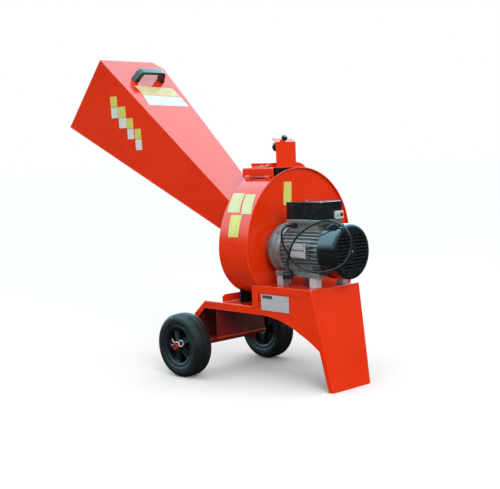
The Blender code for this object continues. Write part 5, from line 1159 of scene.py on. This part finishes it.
def drumRadius(angle, look=scrollLook):
    # the CAD band's radius, which grows from 180 degrees back to 12
    share = max(0.0, (look["from"] - angle) / look["span"]) ** look["power"]
    return look["least"] + look["growth"] * (3 * share ** 2 - 2 * share ** 3)


def drumPoint(angle, x, lift):
    radius = drumRadius(angle) + lift
    turned = math.radians(angle)
    return Vector((x, radius * math.cos(turned), axleHeight + radius * math.sin(turned)))


def makeDrumLip(look):
    span = look["to"] - look["from"]
    angles = [look["from"] + span * k / look["steps"] for k in range(look["steps"] + 1)]
    points = [drumPoint(angle, look["x"], look["inset"]) for angle in angles]
    addWire("drumLip", points, look["radius"], "redEnamel")


# bare tiles and plates
tileLook = {
    "thickness": 0.0007, "corner": 0.0030,
    "flat": {
        "topPanelCream": ("creamTile", (
            (-0.732, -0.092, 1.216), (-0.682, -0.086, 1.173), (-0.672, 0.121, 1.165), (-0.720, 0.113, 1.206),
        )),
        "topPanelWhite": ("whiteTile", (
            (-0.679, -0.088, 1.171), (-0.625, -0.100, 1.124), (-0.616, 0.121, 1.117), (-0.670, 0.121, 1.163),
        )),
        "faceTile": ("yellowTile", (
            (0.0384, 0.0323, 0.6880), (0.0384, 0.0790, 0.6860), (0.0384, 0.0825, 0.7792),
            (0.0384, 0.0395, 0.7811),
        )),
        "ratingPlate": ("plateMetal", (
            (0.0737, -0.1441, 0.2903), (0.2225, -0.1441, 0.2903), (0.2225, -0.1441, 0.3528),
            (0.0737, -0.1441, 0.3528),
        )),
    },
    "barCorners": (
        (0.0820, -0.1449, 0.3370), (0.1340, -0.1449, 0.3370), (0.1340, -0.1449, 0.3500),
        (0.0820, -0.1449, 0.3500),
    ),
    "steps": (
        (-0.8240, 1.1710, -0.7820, 1.0760), (-0.7790, 1.1240, -0.7310, 1.0300),
        (-0.7290, 1.0710, -0.6880, 0.9800), (-0.6820, 1.0230, -0.6420, 0.9310),
    ),
    "gap": 0.0008, "lift": 0.0002, "bandLift": 0.0006, "edge": 0.0002,
}
barLook = {"thickness": 0.0002, "corner": 0.0008, "lift": 0.0}
bandTiles = {
    "bandTileLeft": ("paleTile", (114.4, 135.7), (-0.1060, -0.0926), (-0.0404, -0.0239)),
    "bandTileRight": ("paleTile", (115.6, 137.1), (-0.0314, -0.0126), (0.0249, 0.0442)),
    "bandTileLow": ("yellowTile", (138.4, 163.6), (-0.0655, -0.0576), (-0.0032, -0.0026)),
}


def addTile(shape, corners, look):
    face = shape.faces.new([shape.verts.new(corner) for corner in corners])
    face.normal_update()
    out = face.normal.copy()
    bmesh.ops.translate(shape, vec=out * look["lift"], verts=face.verts[:])
    soften(shape, face.verts[:], look["corner"], 3, "VERTICES")
    grown = bmesh.ops.extrude_face_region(shape, geom=[face for face in shape.faces if not face.tag])
    bmesh.ops.translate(shape, vec=out * look["thickness"], verts=vertsIn(grown))
    for face in shape.faces:
        face.tag = True


def addSideTile(shape, x0, z0, x1, z1, look):
    corners = ((x0, z0), (x1, z0), (x1, z1), (x0, z1))
    addTile(shape, [(x, -hopperWall(x, z) - look["lift"], z) for x, z in corners], look)


def makeTiles(look):
    for name, (finish, corners) in look["flat"].items():
        shape = bmesh.new()
        addTile(shape, corners, look)
        addPiece(name, shape, finish, edge=look["edge"], edgeSteps=1)
    header = bmesh.new()
    addTile(header, look["barCorners"], barLook)
    addPiece("ratingPlateBar", header, "plateDark")
    upper, lower = bmesh.new(), bmesh.new()
    for x0, z1, x1, z0 in look["steps"]:
        middle = (z0 + z1) / 2
        addSideTile(upper, x0, middle + look["gap"], x1, z1, look)
        addSideTile(lower, x0, z0, x1, middle - look["gap"], look)
    addPiece("sideTilesUpper", upper, "yellowTile")
    addPiece("sideTilesLower", lower, "whiteTile")


def makeBandTile(name, finish, angles, left, right, look):
    # bent to the drum; each side goes from its place at the first angle to its place at the last
    shape = bmesh.new()
    steps = 10
    rows = []
    for share in (index / steps for index in range(steps + 1)):
        angle, *sides = (first + (last - first) * share for first, last in (angles, left, right))
        rows.append([shape.verts.new(drumPoint(angle, x, look["bandLift"])) for x in sides])
    for first, second in zip(rows, rows[1:]):
        shape.faces.new((*first, *reversed(second)))
    bmesh.ops.recalc_face_normals(shape, faces=shape.faces)
    bmesh.ops.solidify(shape, geom=shape.faces[:], thickness=-look["thickness"])
    addPiece(name, shape, finish)


makeDrumLip(lipLook)
makeTiles(tileLook)
for name, look in bandTiles.items():
    makeBandTile(name, *look, tileLook)
print("plates made")

# studio: each kind of ray sees its own floor and sky
studioLook = {
    "floorSeen": (0.93, 0.95, 0.96), "floorBounce": (0.42, 0.38, 0.37), "floorGloss": (0.030, 0.030, 0.030),
    "skyLow": (0.050, 0.055, 0.060), "skyDome": (1.02, 1.02, 1.02), "skyGloss": (0.62, 0.90, 1.00),
    "glossSpread": (0.06, 0.36), "skyHigh": (1.62, 3.02, 3.42), "skyCentre": (-0.49, 0.18, 0.85),
    "skySpread": (0.34, 0.60), "floorReach": 60.0, "floorRough": 0.9, "floorSpecular": 0.1,
}
lampLook = {
    "from": (4.6, -2.6, 3.0), "at": (0.0, 0.0, 0.5), "watts": 150.0, "size": 2.6, "colour": (1.0, 0.97, 0.94),
}


def makeFloor(look):
    shape = bmesh.new()
    bmesh.ops.create_grid(shape, x_segments=2, y_segments=2, size=look["floorReach"])
    mesh = bpy.data.meshes.new("studioFloor")
    shape.to_mesh(mesh)
    shape.free()
    floor = bpy.data.objects.new("studioFloor", mesh)
    scene.collection.objects.link(floor)
    material = bpy.data.materials.new("studioFloor")
    material.use_nodes = True
    tree = material.node_tree
    shader = tree.nodes["Principled BSDF"]
    path = addNode(tree, "ShaderNodeLightPath")
    unseen = mixColour(tree, path.outputs["Is Glossy Ray"], look["floorBounce"], look["floorGloss"])
    colour = mixColour(tree, path.outputs["Is Camera Ray"], unseen, look["floorSeen"])
    tree.links.new(colour, shader.inputs["Base Color"])
    shader.inputs["Roughness"].default_value = look["floorRough"]
    shader.inputs["Specular IOR Level"].default_value = look["floorSpecular"]
    mesh.materials.append(material)


def makeSky(look):
    world = bpy.data.worlds.new("studioSky")
    scene.world = world
    world.use_nodes = True
    tree = world.node_tree
    tree.nodes.clear()
    output = addNode(tree, "ShaderNodeOutputWorld")
    seen = addNode(tree, "ShaderNodeBackground")
    lit = addNode(tree, "ShaderNodeBackground")
    mix = addNode(tree, "ShaderNodeMixShader")
    path = addNode(tree, "ShaderNodeLightPath")
    place = addNode(tree, "ShaderNodeTexCoord")
    toward = addNode(tree, "ShaderNodeVectorMath", operation="DOT_PRODUCT")
    split = addNode(tree, "ShaderNodeSeparateXYZ")
    toward.inputs[1].default_value = look["skyCentre"]
    seen.inputs[0].default_value = (1.0, 1.0, 1.0, 1.0)
    upward = place.outputs["Generated"]
    joinUp(tree, (upward, toward.inputs[0]), (upward, split.inputs[0]))
    glow = ramped(tree, toward.outputs["Value"], *look["skySpread"])
    rise = ramped(tree, split.outputs["Z"], *look["glossSpread"])
    dome = mixColour(tree, rise, look["skyLow"], look["skyGloss"])
    glossy = mixColour(tree, glow, dome, look["skyHigh"])
    sky = mixColour(tree, path.outputs["Is Glossy Ray"], look["skyDome"], glossy)
    joinUp(
        tree, (sky, lit.inputs[0]), (path.outputs["Is Camera Ray"], mix.inputs[0]),
        (lit.outputs[0], mix.inputs[1]), (seen.outputs[0], mix.inputs[2]), (mix.outputs[0], output.inputs[0]),
    )


def hangLamp(name, look):
    data = bpy.data.lights.new(name, "AREA")
    data.shape = "DISK"
    data.size = look["size"]
    data.energy = look["watts"]
    data.color = look["colour"]
    lamp = bpy.data.objects.new(name, data)
    spot = Vector(look["from"])
    aim = (Vector(look["at"]) - spot).to_track_quat("-Z", "Y")
    lamp.matrix_world = Matrix.Translation(spot) @ aim.to_matrix().to_4x4()
    lamp.visible_glossy = False  # soft light only, its disc never shows in the gloss
    scene.collection.objects.link(lamp)


makeFloor(studioLook)
makeSky(studioLook)
hangLamp("keyPanel", lampLook)
print("studio made")
